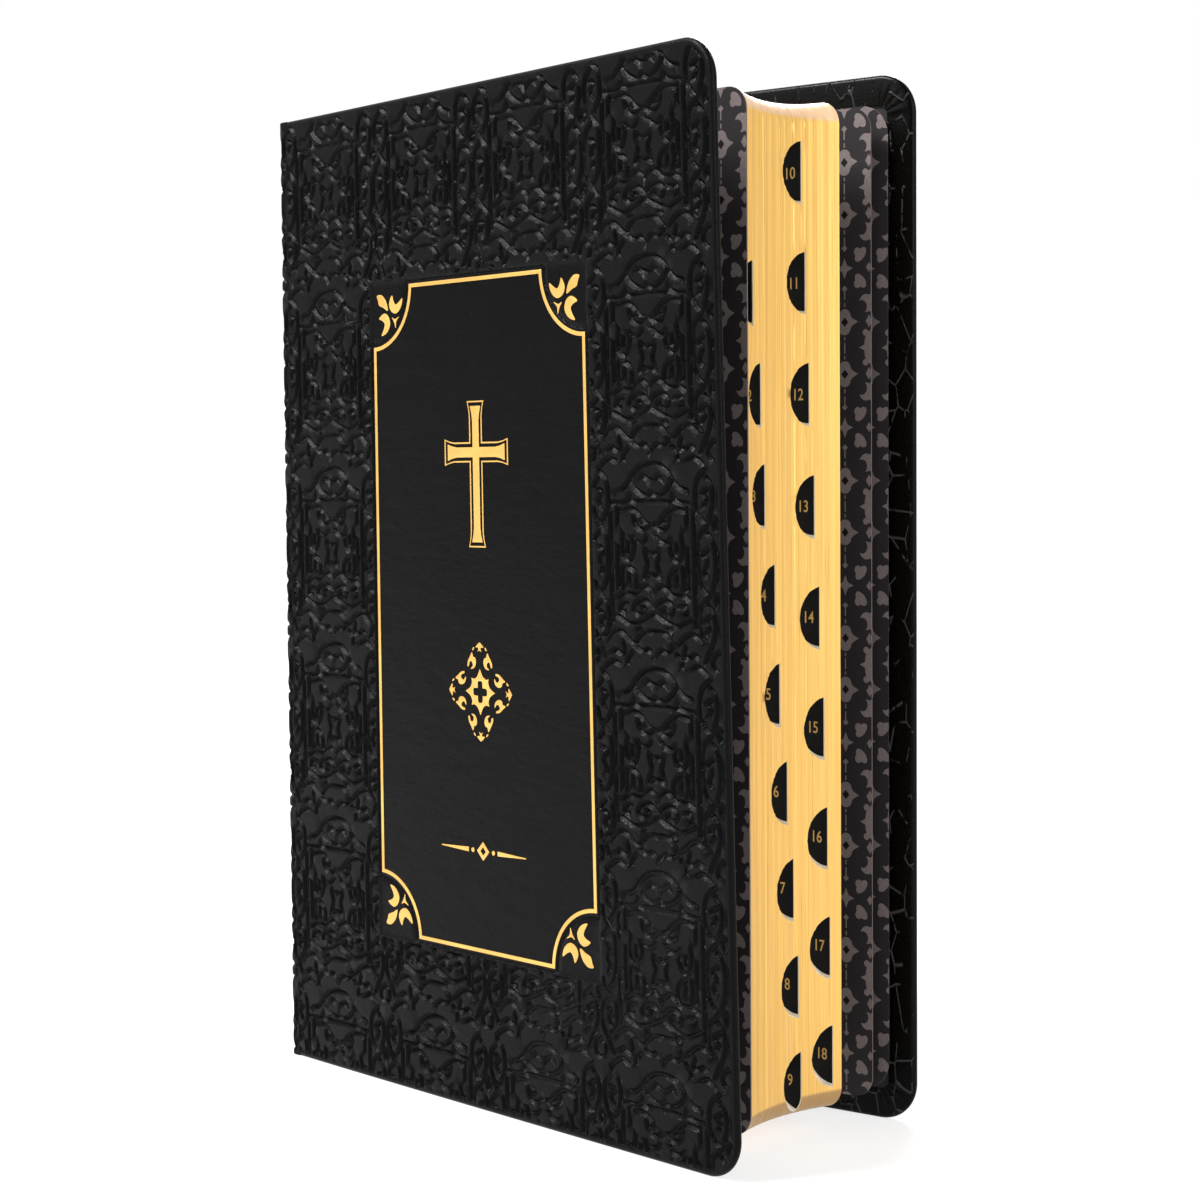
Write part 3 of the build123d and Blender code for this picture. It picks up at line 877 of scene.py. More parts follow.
def panel_distance(u, v):
    """Distance outside the smooth panel of the front cover, negative inside it."""
    border = 0.9
    half = (PANEL_HIGH - PANEL_LOW) / 2 + border
    return np.maximum(np.abs(u - PANEL_CENTRE[0]) - half[0], np.abs(v - PANEL_CENTRE[1]) - half[1])


def groove_lines(low_u, high_u, step):
    """All grooves of the stamped pattern between two distances from the spine."""
    lines = []
    first = math.floor((low_u - TILE_AXIS) / TILE_WIDTH)
    last = math.ceil((high_u - TILE_AXIS) / TILE_WIDTH)
    curves = [smoothed(stroke, step) for stroke in TILE_STROKES]
    for column in range(first, last + 1):
        axis = TILE_AXIS + column * TILE_WIDTH
        for row in range(math.ceil(COVER_HEIGHT / TILE_HEIGHT)):
            top = COVER_HEIGHT - row * TILE_HEIGHT
            for curve in curves:
                for way in (-1, 1):
                    lines.append(np.column_stack([axis + way * curve[:, 0], top - curve[:, 1]]))
    return lines


def near_tree(points):
    """A tree that finds the nearest of some flat points."""
    tree = KDTree(len(points))
    for order, point in enumerate(points):
        tree.insert((*point, 0), order)
    tree.balance()
    return tree


def distances(points, tree):
    """Distance from each point to the nearest one in a tree."""
    return np.array([tree.find((*point, 0))[2] for point in points])


def groove_samples(lines, half_width):
    """Points along the middle, the walls and the edges of every groove, the middle first."""
    samples = []
    for share in (0.0, -0.5, 0.5, -1.0, 1.0):
        for line in lines:
            ways = np.gradient(line, axis=0)
            ways /= np.linalg.norm(ways, axis=1)[:, None] + SHORTEST
            side_ways = np.column_stack([-ways[:, 1], ways[:, 0]])
            every = 4 if share == 0 else 5
            samples.append((line + side_ways * share * half_width)[::every])
    return samples


def panel_border_samples():
    """Points along the step down into the smooth panel."""
    samples = []
    for grow in (0.35, 0.62, 0.9, 1.18, 1.45):
        corner = (PANEL_HIGH - PANEL_LOW) / 2 + grow
        across, upward = [np.arange(-half, half, 1.0) for half in corner]
        for way in (-1, 1):
            level = np.full(len(across), PANEL_CENTRE[1] + way * corner[1])
            samples.append(np.column_stack([PANEL_CENTRE[0] + across, level]))
            reach = np.full(len(upward), PANEL_CENTRE[0] + way * corner[0])
            samples.append(np.column_stack([reach, PANEL_CENTRE[1] + upward]))
    return samples


def one_per_cell(points):
    """The first point in each small square."""
    seen, chosen = set(), []
    for point in points:
        key = (int(point[0] / STAMP_CELL), int(point[1] / STAMP_CELL))
        if key not in seen:
            seen.add(key)
            chosen.append(point)
    return np.array(chosen)


def stamped(low, high, radius, loop, with_panel):
    """The stamped face of a piece of leather: points, faces and the height of each point."""
    given = sizes()
    half_width = given["groove_width"] / 2
    lines = groove_lines(low[0], high[0], GROOVE_STEP)
    centres = np.vstack(lines)
    keep = inside_distance(centres[:, 0], centres[:, 1], low, high, radius) > -1.0
    if with_panel:
        keep &= panel_distance(centres[:, 0], centres[:, 1]) > half_width
    tree = near_tree(centres[keep])

    wanted = groove_samples(lines, half_width)
    if with_panel:
        wanted.extend(panel_border_samples())
    across = np.arange(low[0] + STAMP_GRID / 2, high[0], STAMP_GRID)
    grid_u, grid_v = np.meshgrid(across, np.arange(low[1] + STAMP_GRID / 2, high[1], STAMP_GRID))
    wanted.append(np.column_stack([grid_u.ravel(), grid_v.ravel()]))
    if with_panel:
        rim = smoothed(np.vstack([scooped(-RIM_OFFSET), scooped(-RIM_OFFSET)[:1]]), 0.3)
        beside = [smoothed(scooped(-RIM_OFFSET - grow), 0.5) for grow in (-0.4, -0.2, 0.0, 0.2, 0.4)]
        rim_count = sum(len(line) for line in beside)
        wanted = beside + wanted
    wanted = np.vstack(wanted)
    keep = inside_distance(wanted[:, 0], wanted[:, 1], low, high, radius) > 0.3
    if with_panel:
        away = panel_distance(wanted[:, 0], wanted[:, 1])
        order = np.arange(len(wanted))
        from_rim, from_grid = order < rim_count, order >= len(wanted) - grid_u.size
        keep &= (away > half_width * 0.9) | (np.abs(away) < 0.6) | from_grid | from_rim
    points, faces = triangles(loop, one_per_cell(wanted[keep]))

    near = distances(points, tree)
    depth = given["groove_depth"] * (1 - ramp(near, 0.08, half_width * 1.05))
    swell = 0.05 * ramp(near, half_width, 2.2) * ramp(np.abs(points[:, 0] - HINGE_X), 1.5, 4.0)
    heights = swell - depth
    if with_panel:
        away = panel_distance(points[:, 0], points[:, 1])
        heights = np.where(away < half_width * 0.4, 0, heights * ramp(away, 0.2, 0.9))
        heights = heights - given["panel_depth"] * ramp(-away, -0.3, 0.3)
        heights = heights - RIM_DEPTH * (1 - ramp(distances(points, near_tree(rim)), 0.05, 0.42))
    edge = inside_distance(points[:, 0], points[:, 1], low, high, radius)
    return points, faces, heights * ramp(edge, 0.0, 0.9)


# ---- Covers -------------------------------------------------------------------------------------
def rolled_edge(roll, count):
    """Steps round a rolled edge, from the outer face to the inner one: how far out, and the level."""
    angles = np.radians(np.linspace(0, 180, count))
    return [(roll * math.sin(angle), -roll + roll * math.cos(angle)) for angle in angles]


def cover_leather(side):
    """Leather of one cover: stamped outside, rolled edge, turned-in border with pleated corners."""
    roll = COVER_THICKNESS / 2
    low, high = (HINGE_X + FOLD_GAP, roll), (COVER_REACH - roll, COVER_HEIGHT - roll)
    radius = CORNER_RADIUS - roll
    loop, ways = leaf_loop(low, high, radius, 1.2)
    border = sizes()["turn_in"] - roll
    shares = np.linspace(0, 1, 9)[1:]
    inward = [(-border * share, -COVER_THICKNESS) for share in shares]
    board_level = -COVER_THICKNESS + 0.4
    pocket = [(-border, board_level), (-0.3, board_level), (-0.3, -0.7)]
    bend = rolled_edge(roll, 9)
    made = fixed_rings([(loop, ways)], bend + inward + pocket, COVER_WALL_POINTS)
    first = len(bend)
    pleated = []
    for order, ring in enumerate(made):
        if first <= order < first + len(inward):
            share = shares[order - first]
            pleat = np.zeros(len(ring))
            for corner_v in (low[1] + radius, high[1] - radius):
                way = np.arctan2(made[0][:, 1] - corner_v, made[0][:, 0] - (high[0] - radius))
                swing = way if corner_v > COVER_HEIGHT / 2 else -way
                inside = ramp(swing, -0.12, 0.1) * ramp(swing, math.pi / 2 + 0.12, math.pi / 2 - 0.1)
                pleat += inside * np.abs(np.sin(swing * 9.0)) ** 1.5
            fold = 0.16 * pleat * math.sin(math.pi * min(share, 0.9)) + 0.05 * math.sin(math.pi * share)
            ring = ring - np.column_stack([np.zeros(len(ring)), np.zeros(len(ring)), fold])
        pleated.append(ring)
    sheet = Sheet()
    points, faces, heights = stamped(low, high, radius, made[0][:, :2], side < 0)
    sheet.add(np.column_stack([points, heights]), faces, 0)
    grained_steps = 6
    for order, (one, two) in enumerate(zip(pleated, pleated[1:])):
        sheet.band(one, two, 0 if order < grained_steps else 1)
    last = pleated[-1]
    points, faces = triangles(last[:, :2], np.empty((0, 2)))
    sheet.add(np.column_stack([points, np.full(len(points), last[0, 2])]), faces, 1)
    piece = sheet.piece(
        SIDE_NAMES[side] + "_cover_skin", covers()[side], [leather_material(), turn_in_material()])
    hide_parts(SIDE_NAMES[side] + "_cover_leather")
    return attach(piece, SIDE_NAMES[side] + "_cover")


class BIBLE_OT_cover_leather(bpy.types.Operator):
    """Make the stamped leather of both covers, with its rolled edges and turned-in border"""
    bl_idname = "bible.cover_leather"
    bl_label = "Cover leather"

    def execute(self, context):
        for side in (-1, 1):
            cover_leather(side)
        return {"FINISHED"}


class BIBLE_OT_cover_linings(bpy.types.Operator):
    """Make the boards inside the covers and the pastedowns on them"""
    bl_idname = "bible.cover_linings"
    bl_label = "Boards and pastedowns"

    def execute(self, context):
        board = card_material("cover board", (0.005, 0.005, 0.005), (0.012, 0.012, 0.012))
        damask, edge = endpaper_material("damask pastedown", 0.0052), paper_edge_material()
        for side in (-1, 1):
            place = covers()[side]
            piece = flat_sheet(
                SIDE_NAMES[side] + "_board", place, (HINGE_X + BOARD_INSET, BOARD_INSET),
                (COVER_REACH - BOARD_INSET, COVER_HEIGHT - BOARD_INSET), CORNER_RADIUS - BOARD_INSET,
                *BOARD_LEVELS, [board, board, board])
            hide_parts(SIDE_NAMES[side] + "_cover_board")
            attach(piece, SIDE_NAMES[side] + "_cover")
            inset = sizes()["turn_in"] - 0.2
            piece = flat_sheet(
                SIDE_NAMES[side] + "_lining", place, (HINGE_X + LINING_START, inset),
                (COVER_REACH - inset, COVER_HEIGHT - inset), CORNER_RADIUS - 2,
                *LINING_LEVELS, [damask, damask, edge])
            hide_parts(SIDE_NAMES[side] + "_pastedown")
            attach(piece, SIDE_NAMES[side] + "_cover")
        return {"FINISHED"}


# ---- Spine --------------------------------------------------------------------------------------
class BIBLE_OT_spine_leather(bpy.types.Operator):
    """Make the stamped leather of the spine, in two halves that meet at the middle opening"""
    bl_idname = "bible.spine_leather"
    bl_label = "Spine leather"

    def execute(self, context):
        run = spine_path()[1][-1]
        roll = 0.5
        low, high = (HINGE_X - run, roll), (HINGE_X, COVER_HEIGHT - roll)
        across = np.linspace(low[0], high[0], SPINE_POINTS)
        tail = np.column_stack([across, np.full(SPINE_POINTS, low[1])])
        head = np.column_stack([across[::-1], np.full(SPINE_POINTS, high[1])])
        down = np.tile([0.0, -1.0], (SPINE_POINTS, 1))
        made = fixed_rings([(tail, down), (head, -down)], rolled_edge(roll, 7), SPINE_WALL_POINTS)
        for side in (-1, 1):
            sheet = Sheet()
            points, faces, heights = stamped(low, high, 0, made[0][:, :2], False)
            sheet.add(np.column_stack([points, heights]), faces, 0)
            for one, two in zip(made, made[1:]):
                sheet.band(one, two, 0)
            inner_face = np.full(SPINE_POINTS, -2 * roll)
            sheet.grid([np.column_stack([across, np.full(SPINE_POINTS, level), inner_face])
                        for level in np.linspace(low[1], high[1], SPINE_WALL_POINTS)], 0)
            name = HALF_NAMES[side]
            piece = sheet.piece("spine_skin_" + name, spine_place(side), [leather_material()])
            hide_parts("spine_leather_" + name)
            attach(piece, HALF_BODIES[side])
        return {"FINISHED"}


# ---- Gold ---------------------------------------------------------------------------------------
def filled(name, loops, thickness, bevel):
    """Mesh of flat outlines with holes, given a thickness and a soft edge."""
    curve = bpy.data.curves.new(name, "CURVE")
    curve.dimensions = "2D"
    curve.fill_mode = "BOTH"
    curve.extrude = thickness / 2
    curve.bevel_depth = bevel
    curve.bevel_resolution = 1
    curve.offset = -bevel
    for loop in loops:
        spline = curve.splines.new("POLY")
        spline.points.add(len(loop) - 1)
        flat, weights = np.zeros(len(loop)), np.ones(len(loop))
        spline.points.foreach_set("co", np.column_stack([loop, flat, weights]).ravel())
        spline.use_cyclic_u = True
    return curve_mesh(name, curve)


def curve_mesh(name, curve):
    """Mesh of a curve or a text."""
    holder = bpy.data.objects.new(name, curve)
    bpy.context.scene.collection.objects.link(holder)
    bpy.context.view_layer.update()
    mesh = bpy.data.meshes.new_from_object(holder.evaluated_get(bpy.context.evaluated_depsgraph_get()))
    bpy.data.objects.remove(holder)
    bpy.data.curves.remove(curve)
    return mesh


def mesh_data(mesh):
    """Points and faces of a mesh, which is then removed."""
    points = np.zeros(len(mesh.vertices) * 3)
    mesh.vertices.foreach_get("co", points)
    faces = [tuple(polygon.vertices) for polygon in mesh.polygons]
    bpy.data.meshes.remove(mesh)
    return points.reshape(-1, 3), faces


def foil_piece(name, loops, replaced):
    """Gold foil laid in the pressed panel of the front cover."""
    points, faces = mesh_data(filled(name, loops, FOIL_THICKNESS, FOIL_BEVEL))
    level = FOIL_BEVEL - sizes()["panel_depth"]
    sheet = Sheet()
    sheet.add(points + [0, 0, level], faces)
    piece = sheet.piece(name, covers()[-1], [foil_material()])
    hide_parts(replaced)
    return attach(piece, "front_cover")


def rounded(points):
    """A smooth closed outline through a few points."""
    points = np.asarray(points, float)
    wrapped = np.vstack([points[-2:], points, points[:3]])
    line = smoothed(wrapped, 0.25)
    first = int(np.argmin(np.linalg.norm(line[:len(line) // 2] - points[0], axis=1)))
    last = len(line) // 2 + int(np.argmin(np.linalg.norm(line[len(line) // 2:] - points[0], axis=1)))
    return line[first:last]


def turned(loop, centre, degrees, flip=1):
    """A loop mirrored if flip is -1, turned about the origin and moved to a centre."""
    angle = math.radians(degrees)
    loop = np.asarray(loop) * [1, flip]
    turn_by = np.array([[math.cos(angle), math.sin(angle)], [-math.sin(angle), math.cos(angle)]])
    return loop @ turn_by + centre


def scooped(inset):
    """Outline of the panel: a rectangle whose corners are cut away as quarter circles."""
    low, high = PANEL_LOW + inset, PANEL_HIGH - inset
    radius = SCOOP_RADIUS + inset
    reach = math.degrees(math.asin(inset / radius))
    parts = []
    corners = [((PANEL_HIGH[0], PANEL_LOW[1]), 180 - reach, 90 + reach),
               (tuple(PANEL_HIGH), 270 - reach, 180 + reach),
               ((PANEL_LOW[0], PANEL_HIGH[1]), 360 - reach, 270 + reach),
               (tuple(PANEL_LOW), 90 - reach, reach)]
    for centre, start, end in corners:
        parts.append(arc(centre, radius, start, end, 22))
    outline = []
    for order, part in enumerate(parts):
        following = parts[(order + 1) % 4][0]
        count = int(np.linalg.norm(following - part[-1]) / 2.0)
        outline.extend([part, np.linspace(part[-1], following, count)[1:-1]])
    if low[0] >= high[0]:
        raise ValueError("the panel's line is wider than the panel")
    return np.vstack(outline)


def corner_sprays():
    """Outlines of the four sprays in the scooped corners: a bud, two mirrored cups and a dart."""
    cup = rounded([(7.5, 2.3), (8.1, 3.6), (8.9, 4.5), (10.1, 4.1), (11.6, 3.2), (11.2, 4.9), (10.0, 6.2),
                   (8.6, 6.6), (7.0, 5.8), (6.4, 4.2)])
    spray = [
        rounded([(1.5, 2.1), (2.9, 1.9), (4.0, 2.4), (5.2, 3.7), (5.8, 5.8), (4.0, 5.0), (2.4, 4.4),
                 (1.9, 3.2)]),
        cup,
        cup[::-1, ::-1],
        rounded([(7.5, 7.5), (8.6, 7.9), (10.2, 7.4), (9.1, 8.5), (8.9, 10.0), (8.3, 8.7)]),
    ]
    loops = []
    for across in (-1, 1):
        for upward in (-1, 1):
            corner = np.where([across > 0, upward > 0], PANEL_HIGH, PANEL_LOW)
            for loop in spray:
                loops.append(corner - loop * [across, upward])
    return loops


def rosette():
    """Outlines of the rosette: a pierced star, eight claws, four arrow heads and eight dashes."""
    centre = (PANEL_CENTRE[0], ROSETTE_LEVEL)
    flank = smoothed([(5.3, 0.0), (4.2, 0.57), (3.42, 1.14), (2.94, 2.17), (3.14, 3.14)], 0.3)[:-1]
    point = np.vstack([flank, [(3.14, 3.14)], flank[:0:-1, ::-1]])
    cross_arm = [(0.9, -0.9), (2.2, -0.85), (2.5, -0.5), (2.5, 0.5), (2.2, 0.85)]
    claw = rounded([(9.0, 2.8), (8.0, 3.55), (7.0, 4.25), (6.05, 4.5), (5.65, 4.35), (5.8, 4.0),
                    (6.7, 3.7), (7.0, 3.25), (6.65, 2.7), (5.95, 2.5), (5.3, 3.25), (5.15, 3.1),
                    (5.4, 2.15), (6.2, 1.5), (7.2, 1.4), (7.9, 1.85), (8.0, 2.4)])
    dash = rounded([(10.25, 1.9), (10.05, 2.35), (9.5, 2.65), (9.6, 2.15)])
    half_arrow = np.array([(10.9, 0.75), (10.3, 1.45), (10.15, 1.1), (10.2, 0.45), (9.8, 0.35), (9.2, 0.72)])
    arrow = np.vstack([[(11.4, 0.0)], half_arrow, [(9.55, 0.0)], half_arrow[::-1] * [1, -1]])
    loops = [np.vstack([turned(part, centre, 90 * quarter) for quarter in range(4)])
             for part in (point, cross_arm)]
    for quarter in range(4):
        loops.append(turned(arrow, centre, 90 * quarter))
        for flip in (-1, 1):
            loops.extend(turned(part, centre, 90 * quarter, flip) for part in (claw, dash))
    return loops


def latin_cross():
    """Outlines of a plain cross with flared ends, and the fine line round it."""
    low, high, arm_level, arm = 131.5, 162.5, 152.0, 10.4
    slim, flared = 1.15, 1.9
    neck_run, flare_run, flare_dip = 3.4, 1.7, 0.12
    line_outside, line_inside = 1.15, 0.8

    def outline(grow):
        slim_half, end_half = slim + grow, flared + grow
        arms = [((0, 1), high - arm_level), ((-1, 0), arm), ((0, -1), arm_level - low), ((1, 0), arm)]
        loop = []
        for (way_x, way_y), length_of_arm in arms:
            reach = length_of_arm + grow
            way, across = np.array([way_x, way_y]), np.array([way_y, -way_x])
            neck = way * (reach - neck_run) + across * slim_half
            end = way * reach + across * end_half
            loop.extend([way * slim_half + across * slim_half, neck,
                         (neck + end) / 2 - across * flare_dip, end, way * reach - across * end_half,
                         way * (reach - flare_run) - across * ((slim_half + end_half) / 2 - flare_dip),
                         way * (reach - neck_run) - across * slim_half])
        return np.array(loop) + (PANEL_CENTRE[0], arm_level)
    return [outline(0.0), outline(line_outside), outline(line_inside)]


def divider():
    """Outlines of the rule under the rosette: two tapering strokes, a lozenge and two dots."""
    centre = np.array([PANEL_CENTRE[0], DIVIDER_LEVEL])
    lozenge = np.array([(2.2, 0), (0, 2.2), (-2.2, 0), (0, -2.2)])
    stroke = np.array([(5.2, 0.55), (15.2, 0.12), (15.2, -0.12), (5.2, -0.55)])
    loops = [lozenge + centre, lozenge * 0.45 + centre]
    for way in (-1, 1):
        loops.append(stroke * [way, 1] + centre)
        loops.append(arc(centre + (way * 3.7, 0), 0.55, 0, 345, 16))
    return loops


class BIBLE_OT_gold_blocking(bpy.types.Operator):
    """Make the gold line, sprays, rosette, cross and rule that are blocked on the front cover"""
    bl_idname = "bible.gold_blocking"
    bl_label = "Gold blocking"

    def execute(self, context):
        line = sizes()["panel_line"]
        foil_piece("gold_line", [scooped(0), scooped(line)], "gold_panel_line")
        foil_piece("gold_sprays", corner_sprays(), "gold_corner_sprays")
        foil_piece("gold_emblem", rosette(), "gold_rosette")
        foil_piece("gold_latin_cross", latin_cross(), "gold_cross")
        foil_piece("gold_rule", divider(), "gold_divider")
        return {"FINISHED"}


# ---- Flyleaves and joint papers -----------------------------------------------------------------
class BIBLE_OT_flyleaves(bpy.types.Operator):
    """Make the free leaf at each end of the book"""
    bl_idname = "bible.flyleaves"
    bl_label = "Flyleaves"

    def execute(self, context):
        angles = {-1: 0.0, 1: sizes()["back_leaf_opening"]}
        damask, edge = endpaper_material(), paper_edge_material()
        for side in (-1, 1):
            name = SIDE_NAMES[side]
            piece = flat_sheet(
                name + "_free_leaf", cover_place(side, angles[side]), (LEAF_GUTTER, BLOCK_TAIL),
                (LEAF_EDGE, BLOCK_HEAD), LEAF_CORNER, -PAPER_FACE, -PAGE_FACE, [damask, damask, edge])
            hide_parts(name + "_flyleaf")
            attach(piece, name + "_endsheet")
        return {"FINISHED"}


def joint_strip(name, first, second, material):
    """A folded strip of paper at a hinge, from one leg's points to the other's."""
    fold_depth, half_thickness = 0.3, 0.012
    fold = np.linspace(0, 1, 9)[1:-1, None]
    inner = first[-1] * (1 - fold) + second[0] * fold
    inner[:, 0] -= fold_depth * np.sin(math.pi * fold[:, 0])
    path = np.vstack([first, inner, second])
    ways = np.gradient(path, axis=0)
    ways = np.column_stack([-ways[:, 1], ways[:, 0]]) / (np.linalg.norm(ways, axis=1)[:, None] + SHORTEST)
    section = np.vstack([path + ways * half_thickness, (path - ways * half_thickness)[::-1]])
    levels = (BLOCK_TAIL + 1.0, BLOCK_HEAD - 1.0)
    sheet = Sheet()
    rows = [np.column_stack([section, np.full(len(section), level)]) for level in levels]
    sheet.band(rows[0], rows[1])
    count = len(path)
    caps = [(k, k + 1, 2 * count - 2 - k, 2 * count - 1 - k) for k in range(count - 1)]
    for row in rows:
        sheet.add(row, caps)
    piece = sheet.piece(name, lambda x, y, z: (np.column_stack([x, y, z]) + ORIGIN) * MM, [material])
    legs = [leg / np.linalg.norm(leg) for leg in (first[0] - first[-1], second[-1] - second[0])]
    middle = legs[0] + legs[1]
    across = np.array([-middle[1], middle[0]]) / np.linalg.norm(middle)
    across = across * np.dot(second[0] - first[-1], across)
    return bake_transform(piece)


class BIBLE_OT_joint_papers(bpy.types.Operator):
    """Make the folds of paper that join the covers, the flyleaves and the two halves of the block"""
    bl_idname = "bible.joint_papers"
    bl_label = "Joint papers"

    def execute(self, context):
        given = sizes()
        folded = card_material("joint paper", (0.012, 0.011, 0.012), (0.028, 0.025, 0.026))
        inwards, outwards = (8.0, 4.4), (4.4, 8.0)
        for side in (-1, 1):
            name = SIDE_NAMES[side]
            leaf = 0.0 if side < 0 else given["back_leaf_opening"]
            cover = given["front_opening"] if side < 0 else given["back_opening"]

            def leg(angle, depth, run):
                along = np.array(run) - HINGE_X
                x = HINGE_X + along * math.cos(angle) - depth * math.sin(angle)
                y = OUTER_FACE + along * math.sin(angle) + depth * math.cos(angle)
                return np.column_stack([x, side * y])
            joint_strip(
                name + "_joint_paper", leg(leaf, GLUE_GAP - PAPER_FACE, inwards),
                leg(cover, -COVER_THICKNESS - 0.08, outwards), folded)
            joint_strip(
                name + "_gutter_paper", leg(0.0, -PAGE_FACE - 0.08, inwards),
                leg(leaf, -PAGE_FACE - GLUE_GAP, outwards), folded)
        middle_leg = np.array([(3.0, 0.03), (0.75, 0.03)])
        joint_strip("middle_gutter_paper", middle_leg, middle_leg[::-1] * [1, -1],
                    page_material())
        return {"FINISHED"}


# ---- Text block ---------------------------------------------------------------------------------
CORNER_RUN = LEAF_CORNER * math.pi / 2
STRAIGHT_RUN = BLOCK_HEAD - BLOCK_TAIL - 2 * LEAF_CORNER
WHOLE_RUN = 2 * CORNER_RUN + STRAIGHT_RUN


def notch_levels():
    """Height of the middle of each thumb notch."""
    levels = []
    for order in range(len(INDEX_DEPTHS)):
        column, row = divmod(order, INDEX_ROWS)
        levels.append(BLOCK_HEAD - ROW_DROPS[column] - row * ROW_PITCHES[column])
    return levels


def hollow_edge(y):
    """X of the hollow fore edge at a depth of the block, with the unevenness of the leaves."""
    y = np.asarray(y, float)
    uneven = 0.05 * np.sin(y * 9.1) + 0.035 * np.sin(y * 23.0 + 1.0) + 0.05 * np.sin(y * 2.3 + 0.4)
    share = y / HALF_BLOCK
    return LEAF_EDGE - BLOCK_HOLLOW * (1 - share ** 2) + uneven * (1 - np.abs(share) ** 6) - EDGE_TRIM


def round_back(y):
    """X of the rounded back of the block at a depth of the block."""
    return BLOCK_BACK + BLOCK_HOLLOW * (np.asarray(y, float) / HALF_BLOCK) ** 2


def edge_run(s):
    """Places along a leaf's edge from tail to head: how far in from the fore edge, and the height."""
    s = np.asarray(s, float)
    lower = np.clip(s, 0, CORNER_RUN) / LEAF_CORNER
    upper = np.clip(s - CORNER_RUN - STRAIGHT_RUN, 0, CORNER_RUN) / LEAF_CORNER
    inward = -LEAF_CORNER * (1 - np.where(s < CORNER_RUN, np.sin(lower), np.cos(upper)))
    straight = np.clip(s - CORNER_RUN, 0, STRAIGHT_RUN)
    height = BLOCK_TAIL + LEAF_CORNER * (1 - np.cos(lower)) + straight + LEAF_CORNER * np.sin(upper)
    return inward, height


def edge_points(y, s):
    """Points (x, y, z) on the edge of the block."""
    inward, height = edge_run(s)
    y = np.broadcast_to(np.asarray(y, float), inward.shape)
    return np.column_stack([hollow_edge(y) + inward, y, height])


class Notch:
    """One thumb notch: a ball cut out of the pages in front of its leaf."""

    def __init__(self, order):
        self.leaf = INDEX_DEPTHS[order] - HALF_BLOCK
        self.level = notch_levels()[order]
        self.centre_x = float(LEAF_EDGE - BLOCK_HOLLOW * (1 - (self.leaf / HALF_BLOCK) ** 2))
        self.centre_y = self.leaf + NOTCH_LEAD
        self.tip = self.centre_y - NOTCH_RADIUS
        reach = np.arccos(NOTCH_LEAD / NOTCH_RADIUS)
        rows = self.centre_y - NOTCH_RADIUS * np.cos(np.linspace(0, reach, NOTCH_POINTS))
        rows[-1] = self.leaf
        if self.tip < 0 < self.leaf:
            rows = np.sort(np.append(rows, 0.0))
        if self.tip < -HALF_BLOCK:
            rows = np.append([-HALF_BLOCK], rows[rows > -HALF_BLOCK + 0.05])
        self.rows = rows

    def exits(self, y):
        """Where the notch begins and ends along the edge at a depth of the block, or None."""
        radius_squared = NOTCH_RADIUS ** 2 - (y - self.centre_y) ** 2
        middle = CORNER_RUN + self.level - BLOCK_TAIL - LEAF_CORNER
        if radius_squared <= 1e-6:
            return middle, middle
        search = NOTCH_RADIUS + 2
        s = np.arange(max(0.0, middle - search), min(WHOLE_RUN, middle + search), 0.01)
        inward, height = edge_run(s)
        within = (hollow_edge(y) + inward - self.centre_x) ** 2 + (height - self.level) ** 2 < radius_squared
        if not within.any():
            return middle, middle
        return float(s[within][0]), float(s[within][-1])

    def cut_row(self, y):
        """Points (x, y, z) of the ball's cut at a depth of the block, from its lower exit upwards."""
        low, high = self.exits(y)
        ends = edge_points(y, np.array([low, high]))
        radius = math.sqrt(max(0.0, NOTCH_RADIUS ** 2 - (y - self.centre_y) ** 2))
        if high - low < 0.02:
            return np.repeat(ends[:1], NOTCH_POINTS, axis=0)
        start = math.atan2(ends[0, 2] - self.level, ends[0, 0] - self.centre_x)
        finish = math.atan2(ends[1, 2] - self.level, ends[1, 0] - self.centre_x)
        angles = np.linspace(start, finish - 2 * math.pi, NOTCH_POINTS)
        row = np.column_stack([self.centre_x + radius * np.cos(angles), np.full(NOTCH_POINTS, y),
                               self.level + radius * np.sin(angles)])
        row[0], row[-1] = ends
        return row


def edge_rows():
    """Even places along the leaf's edge, closer together in its corners."""
    corner = np.linspace(0, CORNER_RUN, 9)
    straight = np.linspace(CORNER_RUN, CORNER_RUN + STRAIGHT_RUN, 86)
    return np.concatenate([corner, straight[1:], CORNER_RUN + STRAIGHT_RUN + corner[1:]])


def edge_between(y, low, high):
    """Points of the edge strictly between two places along it."""
    rows = edge_rows()
    return edge_points(y, rows[(rows > low + 0.05) & (rows < high - 0.05)])


def page_outline(y, notches):
    """Outline (x, y, z) of the block at a depth, with the bites of the notches that are open there."""
    at = 0.0
    parts = [edge_points(y, np.array([at]))]
    for (low, high), notch in sorted((notch.exits(y), notch) for notch in notches):
        parts.extend([edge_between(y, at, low), notch.cut_row(y)])
        at = high
    parts.extend([edge_between(y, at, WHOLE_RUN), edge_points(y, np.array([WHOLE_RUN]))])
    outer = np.vstack(parts)
    back = float(round_back(y))
    head = np.linspace(outer[-1, 0], back, STRIP_POINTS)[1:]
    tail = np.linspace(back, outer[0, 0], STRIP_POINTS)[:-1]
    head = np.column_stack([head, np.full(len(head), y), np.full(len(head), BLOCK_HEAD)])
    tail = np.column_stack([tail, np.full(len(tail), y), np.full(len(tail), BLOCK_TAIL)])
    return np.vstack([outer, head, tail])


def block_columns():
    """Depths of the block at which the edges are drawn."""
    return np.concatenate([np.linspace(-HALF_BLOCK, 0, BLOCK_POINTS),
                           np.linspace(0, HALF_BLOCK, BLOCK_POINTS)[1:]])


